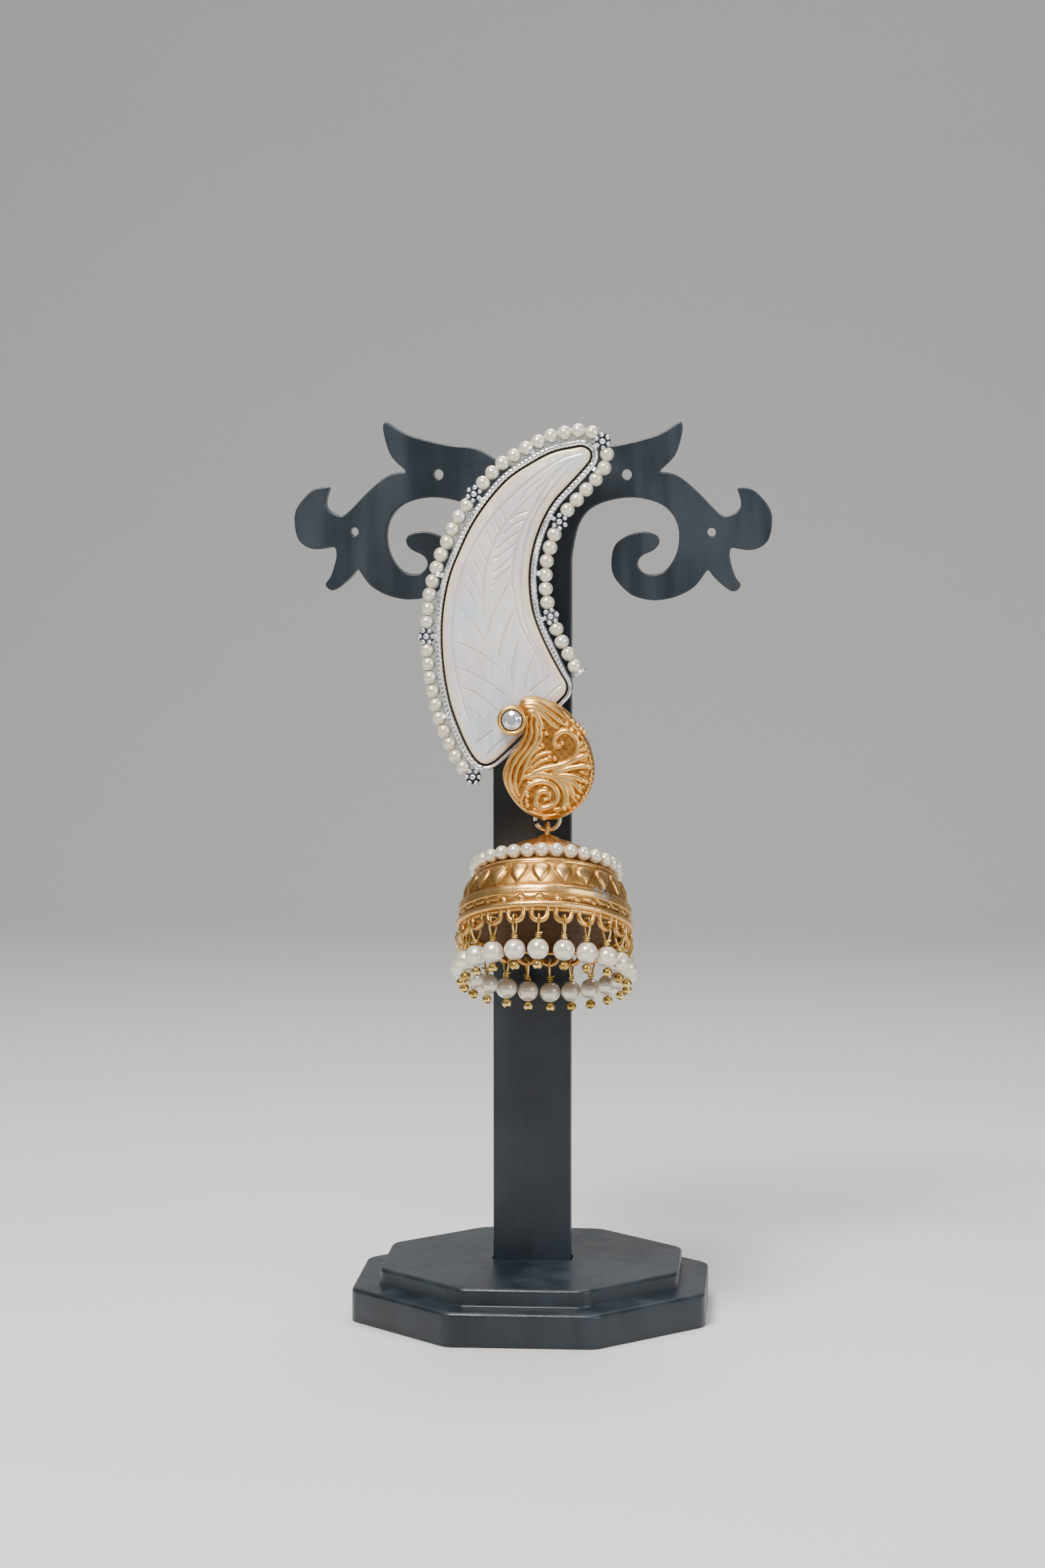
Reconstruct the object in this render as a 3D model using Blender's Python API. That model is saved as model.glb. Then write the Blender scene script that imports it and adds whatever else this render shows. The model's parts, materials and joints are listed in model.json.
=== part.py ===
"""Jhumka earring hanging on a plain display stand.

Metres, +Z up. The origin is the middle of the stand's underside, the front is -Y and +X is to the right.
The earring is a shell crescent in a silver setting, a cast paisley that overlaps it, a jump ring and a
hollow bell with a ring of pearls on its shoulder and pearl drops round its rim.
"""

import math

import bmesh
import bpy
from mathutils import Matrix, Vector

# Fit between neighbouring pieces
GAP = 0.0003

# Angles in degrees above which an edge is shaded sharp: on beads, on cast and cut pieces, on the stone
ROUND_ANGLE = 80.0
EDGE_ANGLE = 35.0
FACET_ANGLE = 10.0
MITRE_LIMIT = 0.6

# Stand
BASE_WIDTH = 0.0642
BASE_STEP_WIDTH = 0.0544
BASE_STEP_HEIGHT = 0.0062
BASE_HEIGHT = 0.0095
BASE_CHAMFER = 0.0006
SOCKET_DEPTH = 0.0050
POST_WIDTH = 0.0142
POST_THICKNESS = 0.0040
STAND_HEIGHT = 0.1631
ARM_REACH = 0.0433
ARM_HEIGHT = 0.0324
ARM_HOLE = 0.0019
ARM_END_HOLE = 0.0016
ARM_ROOT = 0.0027
HOLE_SIDES = 8

# Crescent
CRESCENT_WIDTH = 0.0264
CRESCENT_HEIGHT = 0.0566
CRESCENT_LEFT = -0.0153
CRESCENT_DROP = 0.0614
STANDOFF = 0.0075
PLATE_THICKNESS = 0.0008
SHELL_THICKNESS = 0.0021
SHELL_BEVEL_WIDTH = 0.0016
SHELL_BEVEL_DEPTH = 0.0005
BEZEL_WIDTH = 0.0011
BEZEL_HEIGHT = 0.0028

# Ear post, hidden behind the crescent
EAR_POST_DIAMETER = 0.0009
EAR_POST_RISE = 0.0498
CLUTCH_DIAMETER = 0.0052
CLUTCH_LENGTH = 0.0022
EAR_POST_TAIL = 0.0008

# Pearl string round the crescent
STRING_PEARL = 0.0026
THREAD = 0.0005
STRING_SLOTS = 52
FLOWER_SLOTS = (0, 11, 22, 33, 40, 47)
STRING_START_ROW = 14
STRING_END_ROW = 20
FLOWER_DIAMETER = 0.0031
FLOWER_THICKNESS = 0.0012
FLOWER_NOTCH = 0.0004
SOLDER_BALL = 0.0011
BEAD_SIDES = 10
BEAD_BAND = 0.5
BEAD_BAND_RADIUS = 0.955
ROUTE_STEPS = 8

# Paisley
PAISLEY_WIDTH = 0.0164
PAISLEY_HEIGHT = 0.0221
PAISLEY_LEFT = -0.0044
PAISLEY_DROP = 0.0097
PAISLEY_EDGE = 0.0013
PAISLEY_DOME = 0.0017
PAISLEY_DOME_RUN = 0.0019
RIB_HEIGHT = 0.0006
RIB_WIDTH = 0.0010
RIB_SINK = 0.0004
RIB_TAPER = 0.55
GRAIN_DIAMETER = 0.0009
STONE_DIAMETER = 0.0036
STONE_DEPTH = 0.0016
STONE_SIDES = 12
COLLAR_WALL = 0.0004
COLLAR_HEIGHT = 0.0030

# Loops and jump ring
WIRE = 0.0008
LOOP_RADIUS = 0.00125
JUMP_RING_RADIUS = 0.0022
HANG_X = 0.0035
RING_RISE = 0.0001
WIRE_SIDES = 5

# Bell
BELL_RADIUS = 0.0158
BELL_DEPTH = 0.0175
BELL_WALL = 0.0012
RIM_WALL = 0.0015
BELL_SIDES = 33
SHOULDER_RADIUS = 0.01264
SHOULDER_PEARL = 0.0025
SHOULDER_PEARLS = 31
SHOULDER_LEVEL = 0.0062
RIM_COUNT = 22
TEAR_WIDTH = 0.0027
TEAR_LENGTH = 0.0038
TEAR_RISE = 0.0005
LUG_RADIUS = 0.0148
LUG_LEVEL = 0.01835
LUG_HOLE = 0.0019
LUG_BAR = 0.0008
LUG_SINK = 0.0003
LUG_ARC = (0, 60, 120, 180)

# Pearl drops
DROP_PEARL = 0.0039
DROP_BALL = 0.00186
DROP_LENGTH = 0.0063
DROP_WIRE = 0.0004
DROP_COIL = 0.0010
DROP_BALL_GAP = 0.0008
DROP_EYE_WIDTH = 0.0022
DROP_EYE_SIDES = 5

# Right half of the arm, from the top middle round to the post.
# across is a share of ARM_REACH, up a share of ARM_HEIGHT above the lowest point.
ARM_OUTLINE = (
    ("across", "up"),
    (0.000, 0.740),
    (0.120, 0.762),
    (0.240, 0.845),
    (0.366, 0.867),
    (0.525, 0.923),
    (0.620, 1.000),
    (0.625, 0.948),
    (0.594, 0.807),
    (0.524, 0.715),
    (0.600, 0.698),
    (0.685, 0.609),
    (0.770, 0.493),
    (0.807, 0.468),
    (0.862, 0.503),
    (0.870, 0.553),
    (0.851, 0.632),
    (0.920, 0.615),
    (0.986, 0.521),
    (1.000, 0.440),
    (0.982, 0.330),
    (0.919, 0.281),
    (0.828, 0.297),
    (0.823, 0.242),
    (0.848, 0.128),
    (0.873, 0.089),
    (0.859, 0.059),
    (0.830, 0.052),
    (0.766, 0.121),
    (0.734, 0.178),
    (0.686, 0.082),
    (0.580, 0.014),
    (0.516, 0.000),
    (0.399, 0.049),
    (0.336, 0.151),
    (0.340, 0.293),
    (0.398, 0.365),
    (0.452, 0.382),
    (0.533, 0.340),
    (0.521, 0.298),
    (0.455, 0.256),
    (0.439, 0.191),
    (0.479, 0.143),
    (0.553, 0.163),
    (0.606, 0.276),
    (0.608, 0.418),
    (0.552, 0.524),
    (0.446, 0.570),
    (0.336, 0.560),
    (0.245, 0.511),
    (0.196, 0.428),
    (0.174, 0.325),
)

# Holes in each arm, as shares of ARM_REACH and ARM_HEIGHT
ARM_HOLES = (
    ("across", "up", "size"),
    (0.394, 0.700, ARM_HOLE),
    (0.748, 0.380, ARM_END_HOLE),
)

# Edge of the shell crescent, clockwise from beside its upper tip, as shares of its width and height
CRESCENT_OUTLINE = (
    ("across", "up"),
    (0.885, 0.995),
    (0.751, 0.981),
    (0.611, 0.948),
    (0.450, 0.898),
    (0.314, 0.828),
    (0.210, 0.757),
    (0.129, 0.680),
    (0.056, 0.595),
    (0.011, 0.495),
    (0.000, 0.389),
    (0.019, 0.282),
    (0.060, 0.188),
    (0.128, 0.100),
    (0.195, 0.037),
    (0.256, 0.005),
    (0.323, 0.005),
    (0.403, 0.034),
    (0.544, 0.097),
    (0.783, 0.203),
    (0.831, 0.232),
    (0.831, 0.256),
    (0.797, 0.284),
    (0.724, 0.346),
    (0.657, 0.412),
    (0.607, 0.477),
    (0.583, 0.547),
    (0.583, 0.623),
    (0.615, 0.702),
    (0.679, 0.780),
    (0.751, 0.835),
    (0.841, 0.881),
    (0.929, 0.925),
    (0.989, 0.960),
    (0.992, 0.984),
    (0.947, 0.998),
)

# Edge of the paisley, clockwise from the stone's collar, as shares of its width and height
PAISLEY_OUTLINE = (
    ("across", "up"),
    (0.200, 0.970),
    (0.330, 1.000),
    (0.480, 0.970),
    (0.620, 0.925),
    (0.740, 0.850),
    (0.850, 0.730),
    (0.950, 0.600),
    (1.000, 0.440),
    (0.985, 0.300),
    (0.910, 0.170),
    (0.780, 0.070),
    (0.620, 0.010),
    (0.450, 0.000),
    (0.290, 0.040),
    (0.150, 0.125),
    (0.040, 0.250),
    (0.000, 0.370),
    (0.050, 0.480),
    (0.150, 0.590),
    (0.225, 0.690),
    (0.240, 0.780),
    (0.170, 0.860),
)
STONE_PLACE = (0.106, 0.806)

# Crown of the paisley from its edge inwards: shares of PAISLEY_DOME_RUN and PAISLEY_DOME
PAISLEY_CROWN = ((0.00, 0.00), (0.12, 0.48), (0.40, 0.80), (1.00, 1.00))

# Raised ribs of the paisley: the share of RIB_WIDTH, then points as shares of its width and height
PAISLEY_RIBS = (
    ("width", "route"),
    (1.2, ((0.30, 0.76), (0.27, 0.66), (0.17, 0.54), (0.09, 0.43), (0.07, 0.31), (0.13, 0.18))),
    (1.2, ((0.42, 0.80), (0.39, 0.67), (0.28, 0.52), (0.20, 0.41), (0.17, 0.30))),
    (1.4, ((0.24, 0.95), (0.38, 0.955), (0.52, 0.90), (0.62, 0.83), (0.68, 0.77))),
    (1.2, ((0.29, 0.88), (0.41, 0.86), (0.52, 0.78))),
    (1.1, ((0.70, 0.62), (0.66, 0.58), (0.58, 0.61), (0.57, 0.68), (0.64, 0.73), (0.74, 0.71),
           (0.80, 0.62), (0.76, 0.50), (0.65, 0.43), (0.50, 0.40), (0.38, 0.38))),
    (1.2, ((0.48, 0.18), (0.41, 0.16), (0.38, 0.21), (0.43, 0.26), (0.53, 0.24), (0.57, 0.16), (0.50, 0.09),
           (0.35, 0.09), (0.26, 0.18), (0.29, 0.28), (0.41, 0.34), (0.55, 0.33), (0.65, 0.26), (0.68, 0.15))),
    (1.0, ((0.75, 0.41), (0.83, 0.43), (0.91, 0.47))),
    (1.0, ((0.76, 0.34), (0.85, 0.35), (0.93, 0.36))),
    (1.0, ((0.77, 0.26), (0.87, 0.23))),
)
PAISLEY_GRAINS = (
    (0.785, 0.785), (0.860, 0.715), (0.905, 0.640), (0.780, 0.130), (0.490, 0.700), (0.460, 0.590),
    (0.600, 0.510),
)

# Outer wall of the bell below its loop: shares of BELL_RADIUS and BELL_DEPTH
BELL_PROFILE = (
    ("radius", "level"),
    (0.130, 0.000),
    (0.260, 0.085),
    (0.500, 0.190),
    (0.665, 0.290),
    (0.715, 0.420),
    (0.812, 0.462),
    (0.925, 0.735),
    (0.965, 0.760),
    (0.975, 0.805),
    (0.950, 0.870),
    (0.995, 0.925),
    (1.000, 0.965),
    (0.970, 1.000),
)

# Share of the bell's depth taken by its pointed cap above the hollow
BELL_CAP_SHARE = 0.09

# Inner wall of the bell, from the rim up: shares of the inner radius and of the inner depth
BELL_HOLLOW = (
    ("radius", "level"),
    (1.000, 1.000),
    (0.930, 0.700),
    (0.790, 0.420),
    (0.560, 0.140),
    (0.300, 0.000),
)

# Shares of the bell's depth between which the teardrops' band runs
TEAR_BAND = (0.50, 0.72)

# Half of a teardrop's outline on the bell: shares of half its width and half its length
TEAR_OUTLINE = ((0.0, -1.0), (0.95, -0.62), (0.90, 0.05))
TEAR_CROWN = -0.25
TEAR_SPREAD = 1.30
TEAR_CROWN_SHARE = 0.30

# A round bead turned in bands, from the top: shares of its radius out and up
BALL_BANDS = ((0.71, 0.71), (1.00, 0.00), (0.71, -0.71))

# Half of a drop's wire eye: shares of half its width and of the wire's length
EYE_OUTLINE = ((0.62, 0.02), (1.00, 0.34), (0.20, 0.96))

# Facets of the stone from its point to its table: the share of its width at each level of its depth
STONE_CUT = ((0.10, 1.00), (1.00, 0.35), (1.00, 0.23), (0.56, -0.23))

# Petals of a flower: the share of its radius at each level of its thickness, and whether notches part them
FLOWER_SIDES = 12
FLOWER_LEVELS = ((1.00, 0.0, True), (0.92, 0.6, True), (0.36, 1.0, False))

# Small ball in bands: the level of each band as a share of its radius
GRAIN_SIDES = 5
GRAIN_BANDS = (-0.85, 0.0, 0.85)

# Levels worked out from the sizes above: the crescent hangs from the arm, the paisley from the crescent
CRESCENT_FOOT = STAND_HEIGHT - CRESCENT_DROP
PAISLEY_FOOT = CRESCENT_FOOT - PAISLEY_DROP
ARM_FRONT = -POST_THICKNESS / 2
PLATE_BACK = ARM_FRONT - STANDOFF
PLATE_FRONT = PLATE_BACK - PLATE_THICKNESS
SHELL_BACK = PLATE_FRONT - GAP
SHELL_FRONT = SHELL_BACK - SHELL_THICKNESS
BEZEL_FRONT = PLATE_BACK - BEZEL_HEIGHT
STRING_LEVEL = (PLATE_BACK + BEZEL_FRONT) / 2
STRING_OFFSET = GAP + BEZEL_WIDTH + GAP + STRING_PEARL / 2
FLOWER_BACK = STRING_LEVEL - STRING_PEARL / 2 - GAP / 2
PAISLEY_BACK = SHELL_FRONT - GAP
RING_LEVEL = PAISLEY_BACK + GAP + WIRE / 2
RING_CENTRE = Vector((HANG_X, RING_LEVEL, PAISLEY_FOOT + RING_RISE))
BELL_PIVOT = RING_CENTRE - Vector((0, 0, JUMP_RING_RADIUS))
BAIL_CENTRE = RING_CENTRE + Vector((0, 0, JUMP_RING_RADIUS))
BELL_TOP = -LOOP_RADIUS
LUG_RING = LUG_HOLE / 2 + LUG_BAR / 2
ARM_FOOT = STAND_HEIGHT - ARM_HEIGHT


def clear_scene():
    """Remove every object from the scene."""
    for item in list(bpy.data.objects):
        bpy.data.objects.remove(item, do_unlink=True)


def make_material(name, colour, roughness, metallic):
    """Return a Principled material."""
    material = bpy.data.materials.new(name)
    material.use_nodes = True
    shader = material.node_tree.nodes["Principled BSDF"]
    shader.inputs["Base Color"].default_value = (*colour, 1.0)
    shader.inputs["Roughness"].default_value = roughness
    shader.inputs["Metallic"].default_value = metallic
    return material


def rows(table):
    """Return the rows of a table without its heading row."""
    return table[1:]


def smooth_points(points, steps, closed):
    """Return points on a Catmull-Rom curve through the given 2-D points."""
    count = len(points)
    spans = count if closed else count - 1
    result = []
    for i in range(spans):
        if closed:
            before, start, end, after = (points[(i + k) % count] for k in (-1, 0, 1, 2))
        else:
            before, start = points[max(i - 1, 0)], points[i]
            end, after = points[i + 1], points[min(i + 2, count - 1)]
        for step in range(steps):
            t = step / steps
            result.append(tuple(
                0.5 * (2 * start[k] + (end[k] - before[k]) * t
                       + (2 * before[k] - 5 * start[k] + 4 * end[k] - after[k]) * t * t
                       + (3 * start[k] - before[k] - 3 * end[k] + after[k]) * t ** 3)
                for k in range(2)))
    if not closed:
        result.append(tuple(points[-1]))
    return result


def offset_outline(points, distance):
    """Return a closed outline moved outwards by a distance, with mitred corners."""
    count = len(points)
    area = sum(points[i][0] * points[(i + 1) % count][1] - points[(i + 1) % count][0] * points[i][1]
               for i in range(count))
    side = 1.0 if area > 0 else -1.0
    result = []
    for i in range(count):
        here = Vector(points[i])
        before = (here - Vector(points[i - 1])).normalized()
        after = (Vector(points[(i + 1) % count]) - here).normalized()
        along = (before + after).normalized()
        stretch = 1.0 / max(along.dot(after), MITRE_LIMIT)
        normal = Vector((along.y, -along.x)) * side
        result.append(tuple(here + normal * distance * stretch))
    return result


def loft(mesh, rings, looped=False):
    """Skin a row of rings with equal point counts, closing the ends with flat caps unless looped."""
    rows_of_points = [[mesh.verts.new(point) for point in ring] for ring in rings]
    count = len(rings[0])
    pairs = list(zip(rows_of_points, rows_of_points[1:]))
    if looped:
        pairs.append((rows_of_points[-1], rows_of_points[0]))
    faces = []
    for first, second in pairs:
        for i in range(count):
            j = (i + 1) % count
            faces.append(mesh.faces.new((first[i], first[j], second[j], second[i])))
    if not looped:
        faces.append(mesh.faces.new(rows_of_points[0]))
        faces.append(mesh.faces.new(rows_of_points[-1]))
    bmesh.ops.recalc_face_normals(mesh, faces=faces)


def front_ring(outline, level):
    """Return a flat outline of X and Z values placed at a depth Y."""
    return [Vector((x, level, z)) for x, z in outline]


def turned_ring(radius, height, sides):
    """Return a level ring of points round the Z axis."""
    return [Vector((radius * math.cos(math.tau * k / sides), radius * math.sin(math.tau * k / sides), height))
            for k in range(sides)]


def tube_rings(path, radius, sides, normal, looped):
    """Return the cross sections of a round wire along a flat path whose plane has the given normal."""
    count = len(path)
    rings = []
    for i, point in enumerate(path):
        before = path[i - 1] if looped or i > 0 else point
        after = path[(i + 1) % count] if looped or i < count - 1 else point
        along = (after - before).normalized()
        across = normal.cross(along).normalized()
        rings.append([point + radius * (across * math.cos(math.tau * k / sides)
                                        + normal * math.sin(math.tau * k / sides)) for k in range(sides)])
    return rings


def circle_path(centre, radius, count, first, second):
    """Return the points of a circle in the plane of two unit vectors."""
    return [centre + radius * (first * math.cos(math.tau * k / count) + second * math.sin(math.tau * k / count))
            for k in range(count)]


def add_object(name, mesh, material, parent=None, matrix=None, sharp_angle=EDGE_ANGLE):
    """Turn a bmesh into a shaded scene object."""
    bmesh.ops.triangulate(mesh, faces=[face for face in mesh.faces if len(face.verts) > 4])
    data = bpy.data.meshes.new(name)
    mesh.to_mesh(data)
    mesh.free()
    return place_object(name, data, material, parent, matrix, sharp_angle)


def place_object(name, data, material, parent=None, matrix=None, sharp_angle=EDGE_ANGLE):
    """Put a mesh in the scene under a parent, at a matrix in the parent's frame."""
    item = bpy.data.objects.new(name, data)
    bpy.context.scene.collection.objects.link(item)
    if not data.materials:
        data.materials.append(material)
    data.shade_smooth()
    data.set_sharp_from_angle(angle=math.radians(sharp_angle))
    item.parent = parent
    if matrix is not None:
        item.matrix_local = matrix
    return item


def add_tool(name, mesh, parent=None):
    """Turn a bmesh into a hidden object that a Boolean uses."""
    tool = add_object(name, mesh, None, parent)
    tool.hide_render = True
    tool.display_type = "WIRE"
    return tool


def combine(item, tool, operation):
    """Give an object a Boolean modifier."""
    modifier = item.modifiers.new(tool.name, "BOOLEAN")
    modifier.operation = operation
    modifier.solver = "EXACT"
    modifier.object = tool


def arm_point(across, up):
    """Return the X and Z of a place on the arm given as shares."""
    return across * ARM_REACH, ARM_FOOT + up * ARM_HEIGHT


def arm_half_outline():
    """Return the right half of the arm's outline, down to where it meets the post."""
    points = [arm_point(across, up) for across, up in rows(ARM_OUTLINE)]
    return points + [(POST_WIDTH / 2, points[-1][1] - ARM_ROOT)]


def build_stand_post(material):
    """Make the flat post and its scrolled arm, one plate with earring holes."""
    half = arm_half_outline()
    foot = BASE_HEIGHT - SOCKET_DEPTH + GAP
    right = half + [(POST_WIDTH / 2, foot)]
    outline = right + [(-x, z) for x, z in reversed(right) if x > 0]
    mesh = bmesh.new()
    loft(mesh, [front_ring(outline, POST_THICKNESS / 2), front_ring(outline, ARM_FRONT)])
    post = add_object("stand_post", mesh, material)
    holes = [(side * across * ARM_REACH, ARM_FOOT + up * ARM_HEIGHT, size / 2)
             for side in (-1, 1) for across, up, size in rows(ARM_HOLES)]
    holes.append((0.0, CRESCENT_FOOT + EAR_POST_RISE, EAR_POST_DIAMETER / 2 + GAP))
    cutters = bmesh.new()
    for x, z, radius in holes:
        path = [Vector((x, POST_THICKNESS, z)), Vector((x, -POST_THICKNESS, z))]
        loft(cutters, tube_rings(path, radius, HOLE_SIDES, Vector((1, 0, 0)), False))
    combine(post, add_tool("stand_post_holes", cutters), "DIFFERENCE")


def octagon(width, height):
    """Return an eight-sided ring with a flat side to the front."""
    radius = width / 2 / math.cos(math.pi / 8)
    return [Vector((radius * math.cos(math.pi / 8 + math.pi / 4 * k),
                    radius * math.sin(math.pi / 8 + math.pi / 4 * k), height)) for k in range(8)]


def build_stand_base(material):
    """Make the stepped eight-sided foot with a socket for the post."""
    mesh = bmesh.new()
    loft(mesh, [
        octagon(BASE_WIDTH, 0.0),
        octagon(BASE_WIDTH, BASE_STEP_HEIGHT - BASE_CHAMFER),
        octagon(BASE_WIDTH - 2 * BASE_CHAMFER, BASE_STEP_HEIGHT),
        octagon(BASE_STEP_WIDTH, BASE_STEP_HEIGHT),
        octagon(BASE_STEP_WIDTH, BASE_HEIGHT - BASE_CHAMFER),
        octagon(BASE_STEP_WIDTH - 2 * BASE_CHAMFER, BASE_HEIGHT),
    ])
    base = add_object("stand_base", mesh, material)
    half_width = POST_WIDTH / 2 + GAP
    half_depth = POST_THICKNESS / 2 + GAP
    corners = [(-half_width, -half_depth), (half_width, -half_depth),
               (half_width, half_depth), (-half_width, half_depth)]
    socket = bmesh.new()
    loft(socket, [[Vector((x, y, z)) for x, y in corners]
                  for z in (BASE_HEIGHT - SOCKET_DEPTH, BASE_HEIGHT + SOCKET_DEPTH)])
    combine(base, add_tool("stand_base_socket", socket), "DIFFERENCE")


def crescent_outline(steps):
    """Return the shell's edge as X and Z values."""
    points = [(CRESCENT_LEFT + across * CRESCENT_WIDTH, CRESCENT_FOOT + up * CRESCENT_HEIGHT)
              for across, up in rows(CRESCENT_OUTLINE)]
    return smooth_points(points, steps, True)


def string_route():
    """Return the slots along the pearl string and its direction at each, from the lower corner round the tip."""
    edge = offset_outline(crescent_outline(ROUTE_STEPS), STRING_OFFSET)
    count = len(edge)
    first = STRING_START_ROW * ROUTE_STEPS
    last = STRING_END_ROW * ROUTE_STEPS - count
    line = [Vector((edge[i % count][0], STRING_LEVEL, edge[i % count][1])) for i in range(first, last - 1, -1)]
    lengths = [0.0]
    for start, end in zip(line, line[1:]):
        lengths.append(lengths[-1] + (end - start).length)
    slots = []
    for slot in range(STRING_SLOTS):
        target = lengths[-1] * slot / STRING_SLOTS
        i = max(k for k, length in enumerate(lengths) if length <= target)
        share = (target - lengths[i]) / (lengths[i + 1] - lengths[i])
        slots.append((line[i].lerp(line[i + 1], share), (line[i + 1] - line[i]).normalized()))
    return slots


def string_sections(slots, pearl, closed):
    """Return ring centres, directions and radii of fused round beads on a thread; a slot may hold no bead."""
    radius = pearl / 2
    sections = []
    for i, (centre, along, has_pearl) in enumerate(slots):
        if i > 0 or closed:
            middle = (centre + slots[i - 1][0]) / 2
            half = (centre - slots[i - 1][0]).length / 2
            waist = math.sqrt(max(radius ** 2 - half ** 2, 0.0))
            joined = has_pearl and slots[i - 1][2]
            sections.append((middle, (along + slots[i - 1][1]).normalized(),
                             max(waist, THREAD / 2) if joined else THREAD / 2))
        if has_pearl:
            for share in (-BEAD_BAND, BEAD_BAND):
                sections.append((centre + along * radius * share, along, radius * BEAD_BAND_RADIUS))
    return sections


def loft_sections(mesh, sections, normal, closed):
    """Skin round sections along a flat route."""
    rings = []
    for centre, along, radius in sections:
        across = normal.cross(along).normalized()
        rings.append([centre + radius * (across * math.cos(math.tau * k / BEAD_SIDES)
                                         + normal * math.sin(math.tau * k / BEAD_SIDES))
                      for k in range(BEAD_SIDES)])
    loft(mesh, rings, looped=closed)


def build_pearl_string(material):
    """Make the string of pearls that runs round the crescent, with bare thread behind each flower."""
    slots = [(centre, along, i not in FLOWER_SLOTS) for i, (centre, along) in enumerate(string_route())]
    mesh = bmesh.new()
    loft_sections(mesh, string_sections(slots, STRING_PEARL, False), Vector((0, 1, 0)), False)
    add_object("pearl_string", mesh, material, sharp_angle=ROUND_ANGLE)


def flower_rings(centre, inward):
    """Return the sections of a six-petalled rosette facing the front, one petal towards the bezel."""
    outer = FLOWER_DIAMETER / 2
    turn = math.atan2(inward.z, inward.x)
    rings = []
    for share, rise, notched in FLOWER_LEVELS:
        level = FLOWER_BACK - FLOWER_THICKNESS * rise
        notch = FLOWER_NOTCH if notched else 0.0
        ring = []
        for k in range(FLOWER_SIDES):
            angle = turn + math.tau * k / FLOWER_SIDES
            reach = outer * share - notch * (k % 2)
            ring.append(Vector((centre.x + reach * math.cos(angle), level, centre.z + reach * math.sin(angle))))
        rings.append(ring)
    return rings


def ball(mesh, centre, radius):
    """Add a small coarse ball."""
    rings = []
    for level in GRAIN_BANDS:
        reach = radius * math.sqrt(1 - level ** 2)
        rings.append([centre + Vector((reach * math.cos(math.tau * k / GRAIN_SIDES), radius * level,
                                           reach * math.sin(math.tau * k / GRAIN_SIDES)))
                          for k in range(GRAIN_SIDES)])
    loft(mesh, rings)


def build_crescent(silver, shell_material):
    """Make the silver tray with its bezel and soldered flowers, and the shell that sits in it."""
    edge = crescent_outline(1)
    inner = offset_outline(edge, GAP)
    outer = offset_outline(edge, GAP + BEZEL_WIDTH)
    tray = bmesh.new()
    loft(tray, [
        front_ring(outer, PLATE_BACK),
        front_ring(outer, BEZEL_FRONT),
        front_ring(inner, BEZEL_FRONT),
        front_ring(inner, PLATE_FRONT),
    ])
    setting = add_object("crescent_setting", tray, silver)
    route = string_route()
    flowers = bmesh.new()
    beads = bmesh.new()
    for slot in FLOWER_SLOTS:
        centre, along = route[slot]
        inward = Vector((0, 1, 0)).cross(along).normalized()
        loft(flowers, flower_rings(centre, inward))
        solder = centre + inward * (STRING_OFFSET - GAP - BEZEL_WIDTH)
        ball(beads, Vector((solder.x, BEZEL_FRONT - GAP, solder.z)), SOLDER_BALL / 2)
    combine(setting, add_tool("flower_forms", flowers), "UNION")
    combine(setting, add_tool("flower_solder", beads), "UNION")
    bevel = offset_outline(edge, -SHELL_BEVEL_WIDTH)
    shell = bmesh.new()
    loft(shell, [
        front_ring(edge, SHELL_BACK),
        front_ring(edge, SHELL_FRONT + SHELL_BEVEL_DEPTH),
        front_ring(bevel, SHELL_FRONT),
    ])
    add_object("crescent_shell", shell, shell_material)


def build_ear_post(material):
    """Make the hidden pin through the arm with its clutch, as one piece."""
    height = CRESCENT_FOOT + EAR_POST_RISE
    clutch_front = POST_THICKNESS / 2 + GAP
    stations = (
        (PLATE_BACK + GAP, EAR_POST_DIAMETER),
        (clutch_front, EAR_POST_DIAMETER),
        (clutch_front, CLUTCH_DIAMETER),
        (clutch_front + CLUTCH_LENGTH, CLUTCH_DIAMETER),
        (clutch_front + CLUTCH_LENGTH, EAR_POST_DIAMETER),
        (clutch_front + CLUTCH_LENGTH + EAR_POST_TAIL, EAR_POST_DIAMETER),
    )
    mesh = bmesh.new()
    loft(mesh, [[Vector((diameter / 2 * math.cos(math.tau * k / BEAD_SIDES), level,
                         height + diameter / 2 * math.sin(math.tau * k / BEAD_SIDES)))
                 for k in range(BEAD_SIDES)] for level, diameter in stations])
    add_object("ear_post", mesh, material)


def paisley_point(across, up):
    """Return the X and Z of a place on the paisley given as shares."""
    return PAISLEY_LEFT + across * PAISLEY_WIDTH, PAISLEY_FOOT + up * PAISLEY_HEIGHT


def paisley_outline():
    """Return the paisley's edge as X and Z values."""
    return [paisley_point(across, up) for across, up in rows(PAISLEY_OUTLINE)]


def paisley_front(x, z, edge):
    """Return the Y of the paisley's crowned face at a place, from its distance to the edge."""
    nearest = PAISLEY_DOME_RUN
    place = Vector((x, z))
    for i, point in enumerate(edge):
        start = Vector(point)
        run = Vector(edge[(i + 1) % len(edge)]) - start
        share = min(max((place - start).dot(run) / run.length_squared, 0.0), 1.0)
        nearest = min(nearest, (place - start - run * share).length)
    share = nearest / PAISLEY_DOME_RUN
    return PAISLEY_BACK - PAISLEY_EDGE - PAISLEY_DOME * math.sqrt(1 - (1 - share) ** 2)


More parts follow.
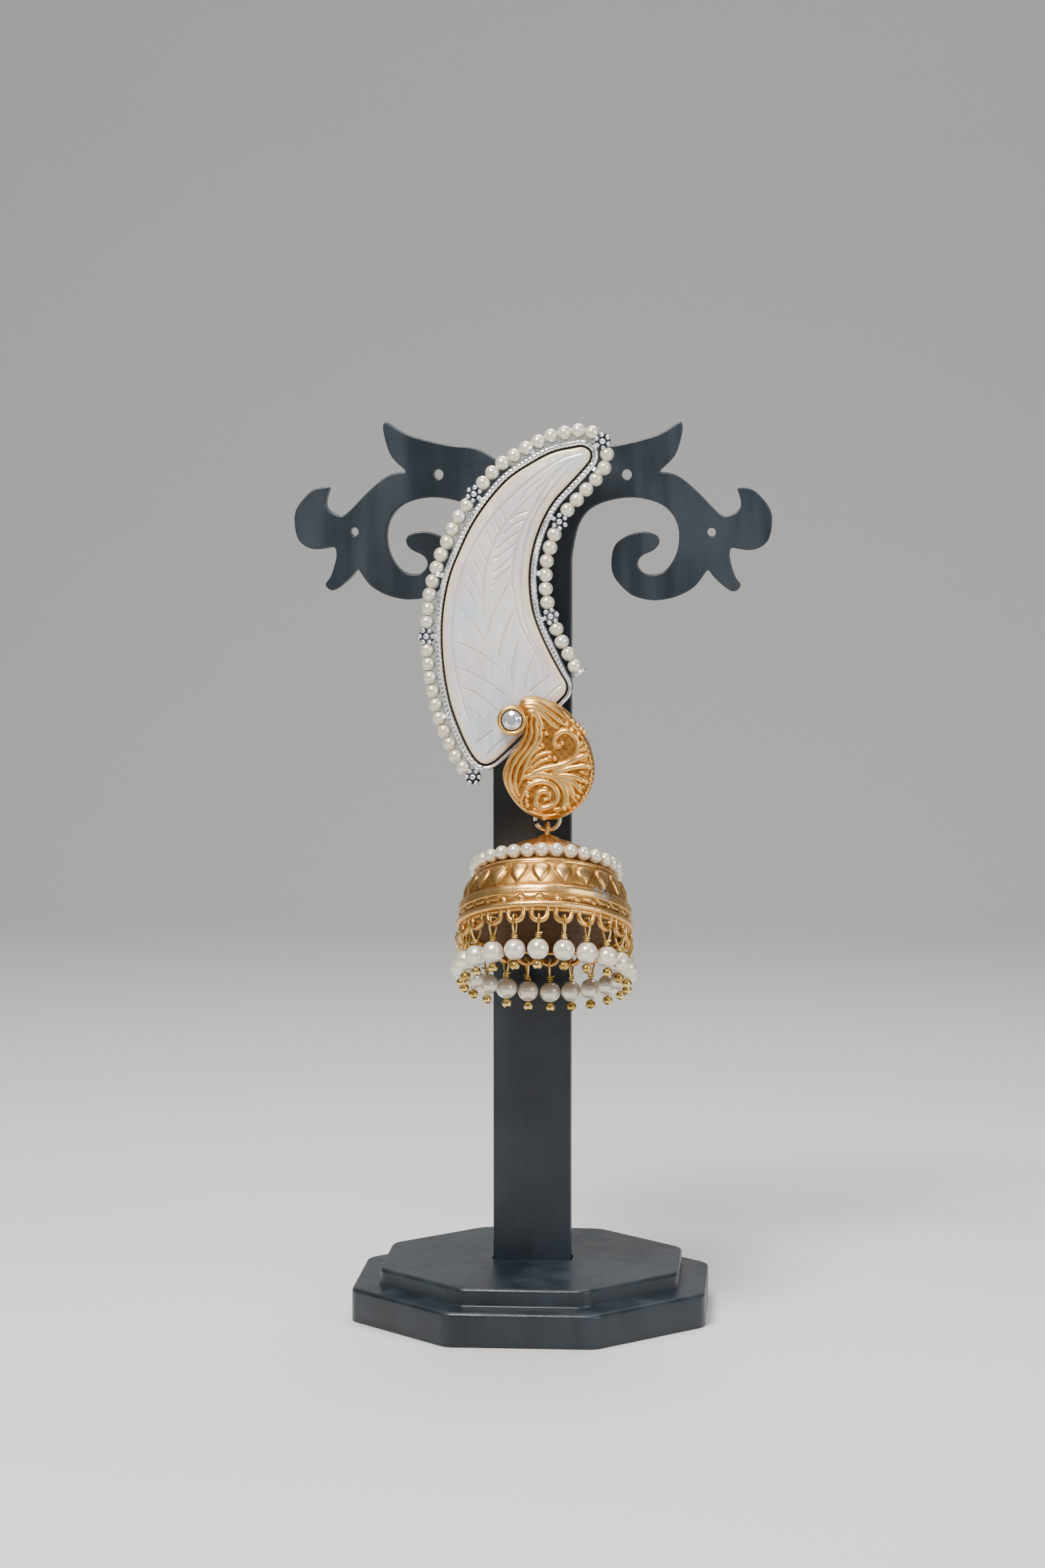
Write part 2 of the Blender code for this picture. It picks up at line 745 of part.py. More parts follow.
def rib_rings(route, width, edge):
    """Return the sections of a raised rib that follows the paisley's face."""
    places = [paisley_point(*point) for point in route]
    rings = []
    for i, (x, z) in enumerate(places):
        before = places[max(i - 1, 0)]
        after = places[min(i + 1, len(places) - 1)]
        along = Vector((after[0] - before[0], 0, after[1] - before[1])).normalized()
        across = along.cross(Vector((0, 1, 0)))
        taper = RIB_TAPER if i in (0, len(places) - 1) else 1.0
        face = Vector((x, paisley_front(x, z, edge), z))
        rings.append([
            face + across * width * taper / 2 + Vector((0, RIB_SINK, 0)),
            face - Vector((0, RIB_HEIGHT * taper, 0)),
            face - across * width * taper / 2 + Vector((0, RIB_SINK, 0)),
        ])
    return rings


def build_paisley(gold, stone_material):
    """Make the cast paisley with its ribs, grains, stone collar and rear bail, and the stone."""
    edge = paisley_outline()
    body = bmesh.new()
    loft(body, [front_ring(edge, PAISLEY_BACK)] + [
        front_ring(offset_outline(edge, -share * PAISLEY_DOME_RUN), PAISLEY_BACK - PAISLEY_EDGE - rise * PAISLEY_DOME)
        for share, rise in PAISLEY_CROWN])
    paisley = add_object("paisley", body, gold)

    relief = bmesh.new()
    for width, route in rows(PAISLEY_RIBS):
        loft(relief, rib_rings(route, width * RIB_WIDTH, edge))
    for across, up in PAISLEY_GRAINS:
        x, z = paisley_point(across, up)
        ball(relief, Vector((x, paisley_front(x, z, edge), z)), GRAIN_DIAMETER / 2)
    combine(paisley, add_tool("paisley_relief", relief), "UNION")

    x, z = paisley_point(*STONE_PLACE)
    bore = STONE_DIAMETER / 2 + GAP
    collar_front = PAISLEY_BACK - COLLAR_HEIGHT
    seat = collar_front + STONE_DEPTH
    collar = bmesh.new()
    cup = bmesh.new()
    normal = Vector((1, 0, 0))
    loft(collar, tube_rings([Vector((x, PAISLEY_BACK - GAP, z)), Vector((x, collar_front, z))],
                            bore + COLLAR_WALL, STONE_SIDES, normal, False))
    loft(cup, tube_rings([Vector((x, seat, z)), Vector((x, collar_front - STONE_DEPTH, z))],
                         bore, STONE_SIDES, normal, False))
    combine(paisley, add_tool("stone_collar", collar), "UNION")
    combine(paisley, add_tool("stone_cup", cup), "DIFFERENCE")

    bail = bmesh.new()
    loft(bail, tube_rings(circle_path(BAIL_CENTRE, LOOP_RADIUS, 10, Vector((0, 1, 0)), Vector((0, 0, 1))),
                          WIRE / 2, WIRE_SIDES, Vector((1, 0, 0)), True), looped=True)
    combine(paisley, add_tool("paisley_bail", bail), "UNION")

    point = seat - GAP
    stone = bmesh.new()
    rings = []
    for share, depth in STONE_CUT:
        radius = STONE_DIAMETER / 2 * share
        level = collar_front + (point - collar_front) * depth
        rings.append([Vector((x + radius * math.cos(math.tau * k / STONE_SIDES), level,
                              z + radius * math.sin(math.tau * k / STONE_SIDES))) for k in range(STONE_SIDES)])
    loft(stone, rings)
    add_object("stone", stone, stone_material, sharp_angle=FACET_ANGLE)


def build_jump_ring(material):
    """Make the ring that links the paisley's bail and the bell's loop; its origin is on its hinge."""
    hinge = bpy.data.objects.new("jump_ring_hinge", None)
    hinge.location = BAIL_CENTRE
    bpy.context.scene.collection.objects.link(hinge)
    mesh = bmesh.new()
    loft(mesh, tube_rings(circle_path(RING_CENTRE - BAIL_CENTRE, JUMP_RING_RADIUS, 12,
                                      Vector((1, 0, 0)), Vector((0, 0, 1))),
                          WIRE / 2, WIRE_SIDES, Vector((0, 1, 0)), True), looped=True)
    add_object("jump_ring", mesh, material, parent=hinge, sharp_angle=ROUND_ANGLE)
    return hinge


def lean_angle(radius, depth, reach):
    """Return how far the bell leans forward for a point on its back to stay at a distance from its pivot."""
    span = math.hypot(radius, depth)
    return math.acos(min(reach / span, 1.0)) - math.atan2(depth, radius)


def bell_lean():
    """Return the lean that the wall, the shoulder pearls and the rear drops need to clear the post."""
    reach = ARM_FRONT - GAP - BELL_PIVOT.y
    leans = [lean_angle(radius * BELL_RADIUS, LOOP_RADIUS + level * BELL_DEPTH, reach)
             for radius, level in rows(BELL_PROFILE)]
    leans.append(lean_angle(SHOULDER_RADIUS, LOOP_RADIUS + SHOULDER_LEVEL, reach - SHOULDER_PEARL / 2))
    leans.append(lean_angle(LUG_RADIUS, LOOP_RADIUS + LUG_LEVEL + LUG_RING, reach - DROP_PEARL / 2))
    return max(leans)


def bell_face(level_share):
    """Return the radius and level of the bell's outer wall at a share of its depth."""
    profile = rows(BELL_PROFILE)
    for (radius_a, level_a), (radius_b, level_b) in zip(profile, profile[1:]):
        if level_a <= level_share <= level_b:
            share = (level_share - level_a) / (level_b - level_a)
            return (radius_a + share * (radius_b - radius_a)) * BELL_RADIUS, level_share * BELL_DEPTH
    raise ValueError("level outside the bell")


def tear_rings(angle):
    """Return the sunk base and the crown of one raised teardrop on the bell's upper band."""
    upper_radius, upper_level = bell_face(TEAR_BAND[0])
    lower_radius, lower_level = bell_face(TEAR_BAND[1])
    middle = Vector((0, -(upper_radius + lower_radius) / 2, BELL_TOP - (upper_level + lower_level) / 2))
    down = Vector((0, upper_radius - lower_radius, upper_level - lower_level)).normalized()
    across = Vector((1, 0, 0))
    out = across.cross(down).normalized()
    if out.y > 0:
        out = -out
    half = [(x * TEAR_WIDTH / 2, y * TEAR_LENGTH / 2) for x, y in TEAR_OUTLINE]
    outline = half + [(0.0, TEAR_LENGTH / 2)] + [(-x, y) for x, y in reversed(half) if x > 0]
    turn = Matrix.Rotation(angle, 3, "Z")
    crown_y = TEAR_CROWN * TEAR_LENGTH / 2
    rings = []
    for share, rise in ((TEAR_SPREAD, -TEAR_RISE), (TEAR_CROWN_SHARE, TEAR_RISE)):
        rings.append([turn @ (middle + across * x * share + down * (crown_y + (y - crown_y) * share) + out * rise)
                      for x, y in outline])
    return rings


def lug_rings(angle):
    """Return the sections of one U-shaped lug below the rim, with square bars."""
    turn = Matrix.Rotation(angle, 3, "Z")
    centre = Vector((0, -LUG_RADIUS, BELL_TOP - LUG_LEVEL))
    rise = Vector((0, 0, LUG_LEVEL - BELL_DEPTH + LUG_SINK))
    arc = [math.radians(step) for step in LUG_ARC]
    path = [centre + LUG_RING * Vector((math.cos(a), 0, -math.sin(a))) for a in arc]
    path = [path[0] + rise] + path + [path[-1] + rise]
    rings = []
    for i, point in enumerate(path):
        along = (path[min(i + 1, len(path) - 1)] - path[max(i - 1, 0)]).normalized()
        across = along.cross(Vector((0, 1, 0)))
        rings.append([turn @ (point + LUG_BAR / 2 * (across * a + Vector((0, b, 0))))
                      for a, b in ((-1, -1), (1, -1), (1, 1), (-1, 1))])
    return rings


def rim_angle(index):
    """Return the turn of one of the rim's repeats, the first at the front."""
    return math.tau * index / RIM_COUNT


def build_bell(gold, pearl_material, pivot):
    """Make the hollow cast bell with its loop, teardrops and lugs, and the pearls round its shoulder."""
    outer = [turned_ring(radius * BELL_RADIUS, BELL_TOP - level * BELL_DEPTH, BELL_SIDES)
             for radius, level in rows(BELL_PROFILE)]
    inner_radius = BELL_RADIUS - RIM_WALL
    ceiling = BELL_DEPTH * BELL_CAP_SHARE + BELL_WALL
    inner = [turned_ring(radius * inner_radius, BELL_TOP - ceiling - level * (BELL_DEPTH - ceiling), BELL_SIDES)
             for radius, level in rows(BELL_HOLLOW)]
    mesh = bmesh.new()
    loft(mesh, outer + inner)
    dome = add_object("bell_dome", mesh, gold, parent=pivot)

    trim = bmesh.new()
    lugs = bmesh.new()
    for index in range(RIM_COUNT):
        loft(trim, tear_rings(rim_angle(index)))
        loft(lugs, lug_rings(rim_angle(index)))
    combine(dome, add_tool("bell_teardrops", trim, pivot), "UNION")
    combine(dome, add_tool("bell_lugs", lugs, pivot), "UNION")
    loop = bmesh.new()
    loft(loop, tube_rings(circle_path(Vector((0, 0, 0)), LOOP_RADIUS, 10, Vector((0, 1, 0)), Vector((0, 0, 1))),
                          WIRE / 2, WIRE_SIDES, Vector((1, 0, 0)), True), looped=True)
    combine(dome, add_tool("bell_loop", loop, pivot), "UNION")

    slots = []
    for k in range(SHOULDER_PEARLS):
        angle = math.tau * k / SHOULDER_PEARLS - math.pi / 2
        centre = Vector((math.cos(angle), math.sin(angle), 0)) * SHOULDER_RADIUS
        slots.append((centre + Vector((0, 0, BELL_TOP - SHOULDER_LEVEL)),
                      Vector((-math.sin(angle), math.cos(angle), 0)), True))
    pearls = bmesh.new()
    loft_sections(pearls, string_sections(slots, SHOULDER_PEARL, True), Vector((0, 0, 1)), True)
    add_object("bell_pearls", pearls, pearl_material, parent=pivot, sharp_angle=ROUND_ANGLE)


def drop_mesh(material):
    """Return the mesh of one drop: a wire eye, a pearl and the ball end of its pin, with the eye's top at 0."""
    pearl_radius = DROP_PEARL / 2
    ball_radius = DROP_BALL / 2
    wire_length = DROP_LENGTH - pearl_radius
    ball_centre = -DROP_LENGTH - pearl_radius - DROP_BALL_GAP
    profile = [(DROP_COIL / 2, -wire_length + DROP_WIRE / 2)]
    profile += [(pearl_radius * out, -DROP_LENGTH + pearl_radius * up) for out, up in BALL_BANDS]
    profile += [(DROP_WIRE, -DROP_LENGTH - pearl_radius)]
    profile += [(ball_radius * out, ball_centre + ball_radius * up) for out, up in BALL_BANDS[1:]]
    solid = bmesh.new()
    loft(solid, [turned_ring(radius, height, BEAD_SIDES) for radius, height in profile])
    half = [(share * DROP_EYE_WIDTH / 2, -drop * wire_length) for share, drop in EYE_OUTLINE]
    outline = half + [(-x, z) for x, z in reversed(half)]
    path = [Vector((x, 0, z)) for x, z in outline]
    eye = bmesh.new()
    loft(eye, tube_rings(path, DROP_WIRE / 2, DROP_EYE_SIDES, Vector((0, 1, 0)), True), looped=True)
    body = add_object("drop_body", solid, material)
    combine(body, add_tool("drop_eye", eye), "UNION")
    depsgraph = bpy.context.evaluated_depsgraph_get()
    joined = bpy.data.meshes.new_from_object(body.evaluated_get(depsgraph))
    bpy.data.objects.remove(bpy.data.objects["drop_eye"], do_unlink=True)
    bpy.data.objects.remove(body, do_unlink=True)
    joined.name = "drop"
    return joined


def drop_place(index, tilt):
    """Return where a drop's eye sits in the world, level, with its eye across the lug's bar."""
    turn = Matrix.Rotation(-tilt, 3, "X") @ Matrix.Rotation(rim_angle(index), 3, "Z")
    hole = BELL_PIVOT + turn @ Vector((0, -LUG_RADIUS, BELL_TOP - LUG_LEVEL))
    facing = turn @ Vector((0, -1, 0))
    level = Vector((facing.x, facing.y, 0)).normalized()
    down = turn @ Vector((0, 0, -1))
    spot = hole + level * down.dot(level) * LUG_RING
    spin = math.atan2(level.y, level.x)
    return Matrix.Translation(spot) @ Matrix.Rotation(spin, 4, "Z")


def build_drops(material, pivot, tilt):
    """Hang one pearl drop in each lug of the rim."""
    data = drop_mesh(material)
    frame = Matrix.Translation(BELL_PIVOT) @ Matrix.Rotation(-tilt, 4, "X")
    for index in range(RIM_COUNT):
        place_object(f"drop_{index + 1:02d}", data, material, pivot,
                     frame.inverted() @ drop_place(index, tilt), sharp_angle=ROUND_ANGLE)


def build_all():
    """Build the stand and the earring."""
    clear_scene()
    plastic = make_material("stand_plastic", (0.012, 0.016, 0.022), 0.42, 0.0)
    silver = make_material("silver", (0.62, 0.64, 0.66), 0.32, 1.0)
    gold = make_material("antique_gold", (0.72, 0.40, 0.12), 0.36, 1.0)
    bright_gold = make_material("bright_gold", (0.83, 0.62, 0.28), 0.22, 1.0)
    shell = make_material("mother_of_pearl", (0.80, 0.79, 0.78), 0.20, 0.0)
    pearl = make_material("pearl", (0.83, 0.79, 0.70), 0.18, 0.0)
    crystal = make_material("white_stone", (0.86, 0.89, 0.92), 0.04, 0.0)

    build_stand_base(plastic)
    build_stand_post(plastic)
    build_crescent(silver, shell)
    build_ear_post(silver)
    build_pearl_string(pearl)
    build_paisley(gold, crystal)
    hinge = build_jump_ring(bright_gold)
    tilt = bell_lean()
    pivot = bpy.data.objects.new("bell_hinge", None)
    bpy.context.scene.collection.objects.link(pivot)
    pivot.parent = hinge
    pivot.matrix_local = Matrix.Translation(BELL_PIVOT - BAIL_CENTRE) @ Matrix.Rotation(-tilt, 4, "X")
    build_bell(gold, pearl, pivot)
    build_drops(pearl, pivot, tilt)


build_all()
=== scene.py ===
"""Dressed view of a jhumka earring on its display stand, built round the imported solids.

Metres, +Z up, the front is -Y. Each sub-assembly is a class that builds its own meshes. Lengths are
in metres, and shares are of the sizes named beside them.
"""

import json
import logging
import math
from collections.abc import Callable, Iterable
from dataclasses import dataclass, field
from enum import Enum

import bmesh
import bpy
import numpy as np
from mathutils import Matrix, Vector
from mathutils.geometry import delaunay_2d_cdt, tessellate_polygon


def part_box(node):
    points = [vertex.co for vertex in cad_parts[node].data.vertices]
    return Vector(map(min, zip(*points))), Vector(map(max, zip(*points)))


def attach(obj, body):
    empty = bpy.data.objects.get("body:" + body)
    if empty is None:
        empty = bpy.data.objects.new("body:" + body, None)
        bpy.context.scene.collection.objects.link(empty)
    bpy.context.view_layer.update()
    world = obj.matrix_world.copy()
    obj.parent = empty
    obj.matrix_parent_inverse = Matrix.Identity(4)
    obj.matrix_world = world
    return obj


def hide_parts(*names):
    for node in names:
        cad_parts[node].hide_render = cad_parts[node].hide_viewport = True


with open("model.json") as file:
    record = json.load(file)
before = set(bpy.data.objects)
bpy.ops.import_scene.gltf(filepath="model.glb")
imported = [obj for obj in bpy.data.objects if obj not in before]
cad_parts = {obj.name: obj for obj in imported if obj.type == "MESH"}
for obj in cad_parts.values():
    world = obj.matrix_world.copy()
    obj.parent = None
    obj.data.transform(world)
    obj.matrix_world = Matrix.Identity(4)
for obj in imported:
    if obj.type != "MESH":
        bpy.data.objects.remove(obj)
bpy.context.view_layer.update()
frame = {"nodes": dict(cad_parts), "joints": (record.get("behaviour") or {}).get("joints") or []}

logging.basicConfig(level=logging.INFO, format="%(message)s")
LOG = logging.getLogger("jhumka")

MM = 0.001

Pair = tuple[float, float]
Triple = tuple[float, float, float]
Route = tuple[Pair, ...]
Colour = Triple
Array = np.ndarray
Places = Array
Grid = Array
Tree = bpy.types.NodeTree
Node = bpy.types.Node
Socket = bpy.types.NodeSocket
Inputs = dict[str, object]


class Body(Enum):
    """The moving bodies that a piece can ride on."""

    STAND = "stand"
    RING = "ring"
    BELL = "bell"


class Shading(Enum):
    """How sharp an edge has to be, in degrees, before it is shaded as an edge."""

    ROUND = 80.0
    CAST = 50.0
    EDGED = 32.0
    CUT = 4.0


class Slot(Enum):
    """The record's material slots."""

    PLASTIC = "black_plastic"
    SILVER = "oxidised_silver"
    SHELL = "mother_of_pearl"
    PIN = "steel_pin"
    PEARL = "cream_pearl"
    MATTE_GOLD = "matte_gold"
    ANTIQUE_GOLD = "antique_gold"
    BRIGHT_GOLD = "bright_gold"
    STONE = "white_stone"


# Shader wiring

# A Mix node's sockets for colours, whose names its other kinds share
MIX_SHARE, MIX_FIRST, MIX_SECOND, MIX_RESULT = 0, 6, 7, 2

# The noise values between which each effect of a group comes in
GRAIN_SPAN = (0.35, 0.65)
BLOTCH_SPAN = (0.38, 0.62)
COOL_SPAN = (0.42, 0.62)
ROSY_SPAN = (0.45, 0.66)
ROSY_SHIFT = (0.31, 0.17, 0.23)

# The relief between which hollows clear up and ridges are rubbed, and how far the rubbing goes
HOLLOW_SPAN = (0.05, 0.45)
RIDGE_SPAN = (0.62, 1.0)
RIDGE_SHARE = 0.7


class Wiring:
    """Short calls that place and link the nodes of one tree."""

    def __init__(self, tree: Tree) -> None:
        """Start on a tree.

        Args:
            tree: The node tree to fill.
        """
        self.tree = tree

    def node(self, kind: str, inputs: Inputs | None = None,
             **settings: object) -> Node:
        """Place a node.

        Args:
            kind: The node's type name without its ShaderNode prefix.
            inputs: Values or sockets for its inputs, by name.
            **settings: Its properties.

        Returns:
            The new node.
        """
        name = kind if kind.startswith("Node") else "ShaderNode" + kind
        item = self.tree.nodes.new(name)
        for key, value in settings.items():
            setattr(item, key, value)
        for key, value in (inputs or {}).items():
            self.feed(item.inputs[key], value)
        return item

    def feed(self, target: Socket, value: object) -> None:
        """Give an input a value or a link.

        Args:
            target: The input socket.
            value: A socket to link, or a plain value.
        """
        if isinstance(value, Socket):
            self.tree.links.new(value, target)
        elif isinstance(value, tuple) and len(value) == 3 and target.type == "RGBA":
            target.default_value = (*value, 1.0)
        else:
            target.default_value = value

    def place(self) -> Socket:
        """Return the point of the surface in the piece's own coordinates."""
        return self.node("TexCoord").outputs["Object"]

    def mask(self, name: str) -> Socket:
        """Return a value stored on the mesh by name."""
        return self.node("Attribute", attribute_name=name).outputs["Fac"]

    def noise(self, scale: object, detail: float = 3.0, vector: object = None) -> Socket:
        """Return noise between 0 and 1.

        Args:
            scale: Cells per metre.
            detail: Octaves.
            vector: The point to read it at, or None for the piece's own coordinates.

        Returns:
            The noise value's socket.
        """
        inputs = {"Scale": scale, "Detail": detail, "Vector": vector or self.place()}
        return self.node("TexNoise", inputs).outputs["Fac"]

    def span(self, value: object, low: float, high: float, start: float = 0.0,
             end: float = 1.0) -> Socket:
        """Return a value eased from one range to another.

        Args:
            value: The value to map.
            low: Where the range starts.
            high: Where it ends.
            start: What low becomes.
            end: What high becomes.

        Returns:
            The mapped value's socket.
        """
        inputs = {"Value": value, "From Min": low, "From Max": high, "To Min": start, "To Max": end}
        return self.node("MapRange", inputs, interpolation_type="SMOOTHSTEP").outputs["Result"]

    def sum(self, first: object, second: object, operation: str = "ADD") -> Socket:
        """Return two values put together by an operation."""
        item = self.node("Math", operation=operation)
        self.feed(item.inputs[0], first)
        self.feed(item.inputs[1], second)
        return item.outputs[0]

    def times(self, first: object, second: object) -> Socket:
        """Return the product of two values."""
        return self.sum(first, second, "MULTIPLY")

    def stretched(self, share: float) -> Socket:
        """Return the piece's coordinates with its Z cut to a share, which draws marks out upwards."""
        mapping = self.node("Mapping", {"Vector": self.place(), "Scale": (1.0, 1.0, share)})
        return mapping.outputs["Vector"]

    def group(self, tree: Tree, inputs: Inputs) -> Node:
        """Place a node group with its own values or sockets."""
        item = self.node("Group")
        item.node_tree = tree
        for key, value in inputs.items():
            self.feed(item.inputs[key], value)
        return item

    def bump(self, height: object, depth: float) -> Socket:
        """Return the normal of a surface with a height, of which 1 is so deep."""
        inputs = {"Height": height, "Distance": depth, "Strength": 1.0}
        return self.node("Bump", inputs).outputs["Normal"]

    def blend(self, share: object, first: object, second: object) -> Socket:
        """Return a mix of two colours.

        Args:
            share: How much of the second shows.
            first: The colour at 0.
            second: The colour at 1.

        Returns:
            The mixed colour's socket.
        """
        item = self.node("Mix", data_type="RGBA", blend_type="MIX")
        self.feed(item.inputs[MIX_SHARE], share)
        self.feed(item.inputs[MIX_FIRST], first)
        self.feed(item.inputs[MIX_SECOND], second)
        return item.outputs[MIX_RESULT]


def shader_group(name: str, inputs: Inputs, outputs: tuple[str, ...],
                 wire: Callable[[Wiring, Node, Node], None]) -> Tree:
    """Return a shader node group, made the first time it is asked for.

    Args:
        name: The group's name.
        inputs: Its input sockets with their default values.
        outputs: Its output sockets, of which Colour is a colour and the others are values.
        wire: A function that fills it, given the wiring and the group's input and output nodes.

    Returns:
        The group's node tree.
    """
    tree = bpy.data.node_groups.get(name)
    if tree:
        return tree
    tree = bpy.data.node_groups.new(name, "ShaderNodeTree")
    for key, value in inputs.items():
        kind = "NodeSocketColor" if isinstance(value, tuple) else "NodeSocketFloat"
        made = tree.interface.new_socket(name=key, in_out="INPUT", socket_type=kind)
        made.default_value = (*value, 1.0) if isinstance(value, tuple) else value
    for key in outputs:
        kind = "NodeSocketColor" if key == "Colour" else "NodeSocketFloat"
        tree.interface.new_socket(name=key, in_out="OUTPUT", socket_type=kind)
    wiring = Wiring(tree)
    wire(wiring, wiring.node("NodeGroupInput"), wiring.node("NodeGroupOutput"))
    return tree


def grain_group() -> Tree:
    """Return the group that gives a fine cast or moulded grain and slow blotches."""

    def wire(w: Wiring, into: Node, out: Node) -> None:
        """Fill the group."""
        fine = w.noise(into.outputs["Scale"], 4.0)
        slow = w.noise(into.outputs["Blotch Scale"], 2.0)
        w.feed(out.inputs["Height"], w.sum(fine, w.times(slow, into.outputs["Blotch"])))
        w.feed(out.inputs["Grain"], w.span(fine, *GRAIN_SPAN))
        w.feed(out.inputs["Blotches"], w.span(slow, *BLOTCH_SPAN))

    return shader_group("Fine grain", {"Scale": 4000.0, "Blotch Scale": 260.0, "Blotch": 0.6},
                        ("Height", "Grain", "Blotches"), wire)


def patina_group() -> Tree:
    """Return the group that darkens the hollows of a relief and rubs its ridges bright."""

    def wire(w: Wiring, into: Node, out: Node) -> None:
        """Fill the group."""
        uneven = w.sum(w.noise(into.outputs["Scale"], 3.0), 0.5, "SUBTRACT")
        relief = w.sum(into.outputs["Relief"], w.times(uneven, into.outputs["Uneven"]))
        hollow = w.span(relief, *HOLLOW_SPAN, 1.0, 0.0)
        ridge = w.span(relief, *RIDGE_SPAN)
        colour = w.blend(w.times(hollow, into.outputs["Depth"]), into.outputs["Metal"],
                         into.outputs["Hollow"])
        rubbed = w.blend(w.times(ridge, RIDGE_SHARE), colour, into.outputs["Ridge"])
        w.feed(out.inputs["Colour"], rubbed)
        w.feed(out.inputs["Hollows"], hollow)

    return shader_group("Patina", {
        "Relief": 0.5, "Scale": 700.0, "Uneven": 0.4, "Depth": 0.9, "Metal": (0.8, 0.5, 0.2),
        "Hollow": (0.2, 0.08, 0.02), "Ridge": (0.9, 0.6, 0.3)}, ("Colour", "Hollows"), wire)


def lustre_group() -> Tree:
    """Return the group that drifts a pale nacre between a warm, a cool and a rosy tint."""

    def wire(w: Wiring, into: Node, out: Node) -> None:
        """Fill the group."""
        first = w.span(w.noise(into.outputs["Scale"], 2.0), *COOL_SPAN)
        shifted = w.node("VectorMath", operation="ADD")
        w.feed(shifted.inputs[0], w.place())
        w.feed(shifted.inputs[1], ROSY_SHIFT)
        second = w.span(w.noise(into.outputs["Scale"], 2.0, shifted.outputs[0]), *ROSY_SPAN)
        colour = w.blend(first, into.outputs["Warm"], into.outputs["Cool"])
        w.feed(out.inputs["Colour"], w.blend(second, colour, into.outputs["Rosy"]))

    return shader_group("Lustre", {
        "Scale": 120.0, "Warm": (0.86, 0.82, 0.74), "Cool": (0.8, 0.84, 0.88),
        "Rosy": (0.86, 0.78, 0.8)}, ("Colour",), wire)


@dataclass(frozen=True)
class Finish:
    """A finish whose material is made once and shared by its pieces."""

    name: str

    def material(self) -> bpy.types.Material:
        """Return the finish's material, made the first time it is asked for."""
        found = bpy.data.materials.get(self.name)
        if found:
            return found
        material = bpy.data.materials.new(self.name)
        material.use_nodes = True
        wiring = Wiring(material.node_tree)
        shader = material.node_tree.nodes["Principled BSDF"]
        for key, value in self.paint(wiring).items():
            wiring.feed(shader.inputs[key], value)
        return material

    def paint(self, w: Wiring) -> Inputs:
        """Return what the finish's shader is given, as values and sockets by input."""
        raise NotImplementedError


@dataclass(frozen=True)
class CastMetal(Finish):
    """A cast or drawn metal with patina in its hollows and rubbed ridges."""

    metal: Colour
    hollow: Colour
    ridge: Colour
    roughness: Pair = (0.28, 0.5)
    depth: float = 0.9
    uneven: float = 0.4
    grain: float = 4200.0
    grain_depth: float = 0.00003
    grain_roughness: float = 0.08
    blotch_scale: float = 300.0
    blotch: float = 0.8
    dulling: float = 0.14
    has_relief: bool = True
    has_scuff: bool = False
    scuff: Colour = (0.78, 0.76, 0.74)
    scuff_scale: float = 1500.0
    scuff_span: Pair = (0.42, 0.56)
    stain: Colour = (0.05, 0.04, 0.035)
    stain_scale: float = 1100.0
    stain_span: Pair = (0.47, 0.55)

    def paint(self, w: Wiring) -> Inputs:
        """Wire the metal, with its scuff where it has one."""
        grain = w.group(grain_group(), {
            "Scale": self.grain, "Blotch Scale": self.blotch_scale, "Blotch": self.blotch})
        relief = w.mask("relief") if self.has_relief else grain.outputs["Blotches"]
        patina = w.group(patina_group(), {
            "Relief": relief, "Metal": self.metal, "Hollow": self.hollow, "Ridge": self.ridge,
            "Depth": self.depth, "Uneven": self.uneven})
        dull = w.times(grain.outputs["Blotches"], self.dulling)
        colour = w.blend(dull, patina.outputs["Colour"], self.hollow)
        rough = w.span(patina.outputs["Hollows"], 0.0, 1.0, *self.roughness)
        rough = w.sum(rough, w.times(grain.outputs["Grain"], self.grain_roughness))
        if self.has_scuff:
            for mask, scale, span, tint in (
                    ("scuff", self.scuff_scale, self.scuff_span, self.scuff),
                    ("stain", self.stain_scale, self.stain_span, self.stain)):
                patch = w.times(w.mask(mask), w.span(w.noise(scale, 4.0), *span))
                colour = w.blend(patch, colour, tint)
        return {"Metallic": 1.0, "Base Color": colour, "Roughness": rough,
                "Normal": w.bump(grain.outputs["Height"], self.grain_depth)}


@dataclass(frozen=True)
class Pearl(Finish):
    """A pearl coating with a soft drift of colour."""

    warm: Colour = (0.71, 0.64, 0.49)
    cool: Colour = (0.73, 0.70, 0.61)
    rosy: Colour = (0.71, 0.63, 0.52)
    roughness: Pair = (0.2, 0.3)
    drift_scale: float = 420.0
    grain_depth: float = 0.00003

    def paint(self, w: Wiring) -> Inputs:
        """Wire the pearl's coating."""
        lustre = w.group(lustre_group(), {
            "Scale": self.drift_scale, "Warm": self.warm, "Cool": self.cool, "Rosy": self.rosy})
        grain = w.group(grain_group(), {"Scale": 1800.0, "Blotch Scale": 500.0, "Blotch": 1.5})
        return {"Metallic": 0.45, "Coat Weight": 0.8, "Coat Roughness": 0.08,
                "Specular IOR Level": 0.6, "Base Color": lustre.outputs["Colour"],
                "Roughness": w.span(grain.outputs["Blotches"], 0.0, 1.0, *self.roughness),
                "Normal": w.bump(grain.outputs["Height"], self.grain_depth)}


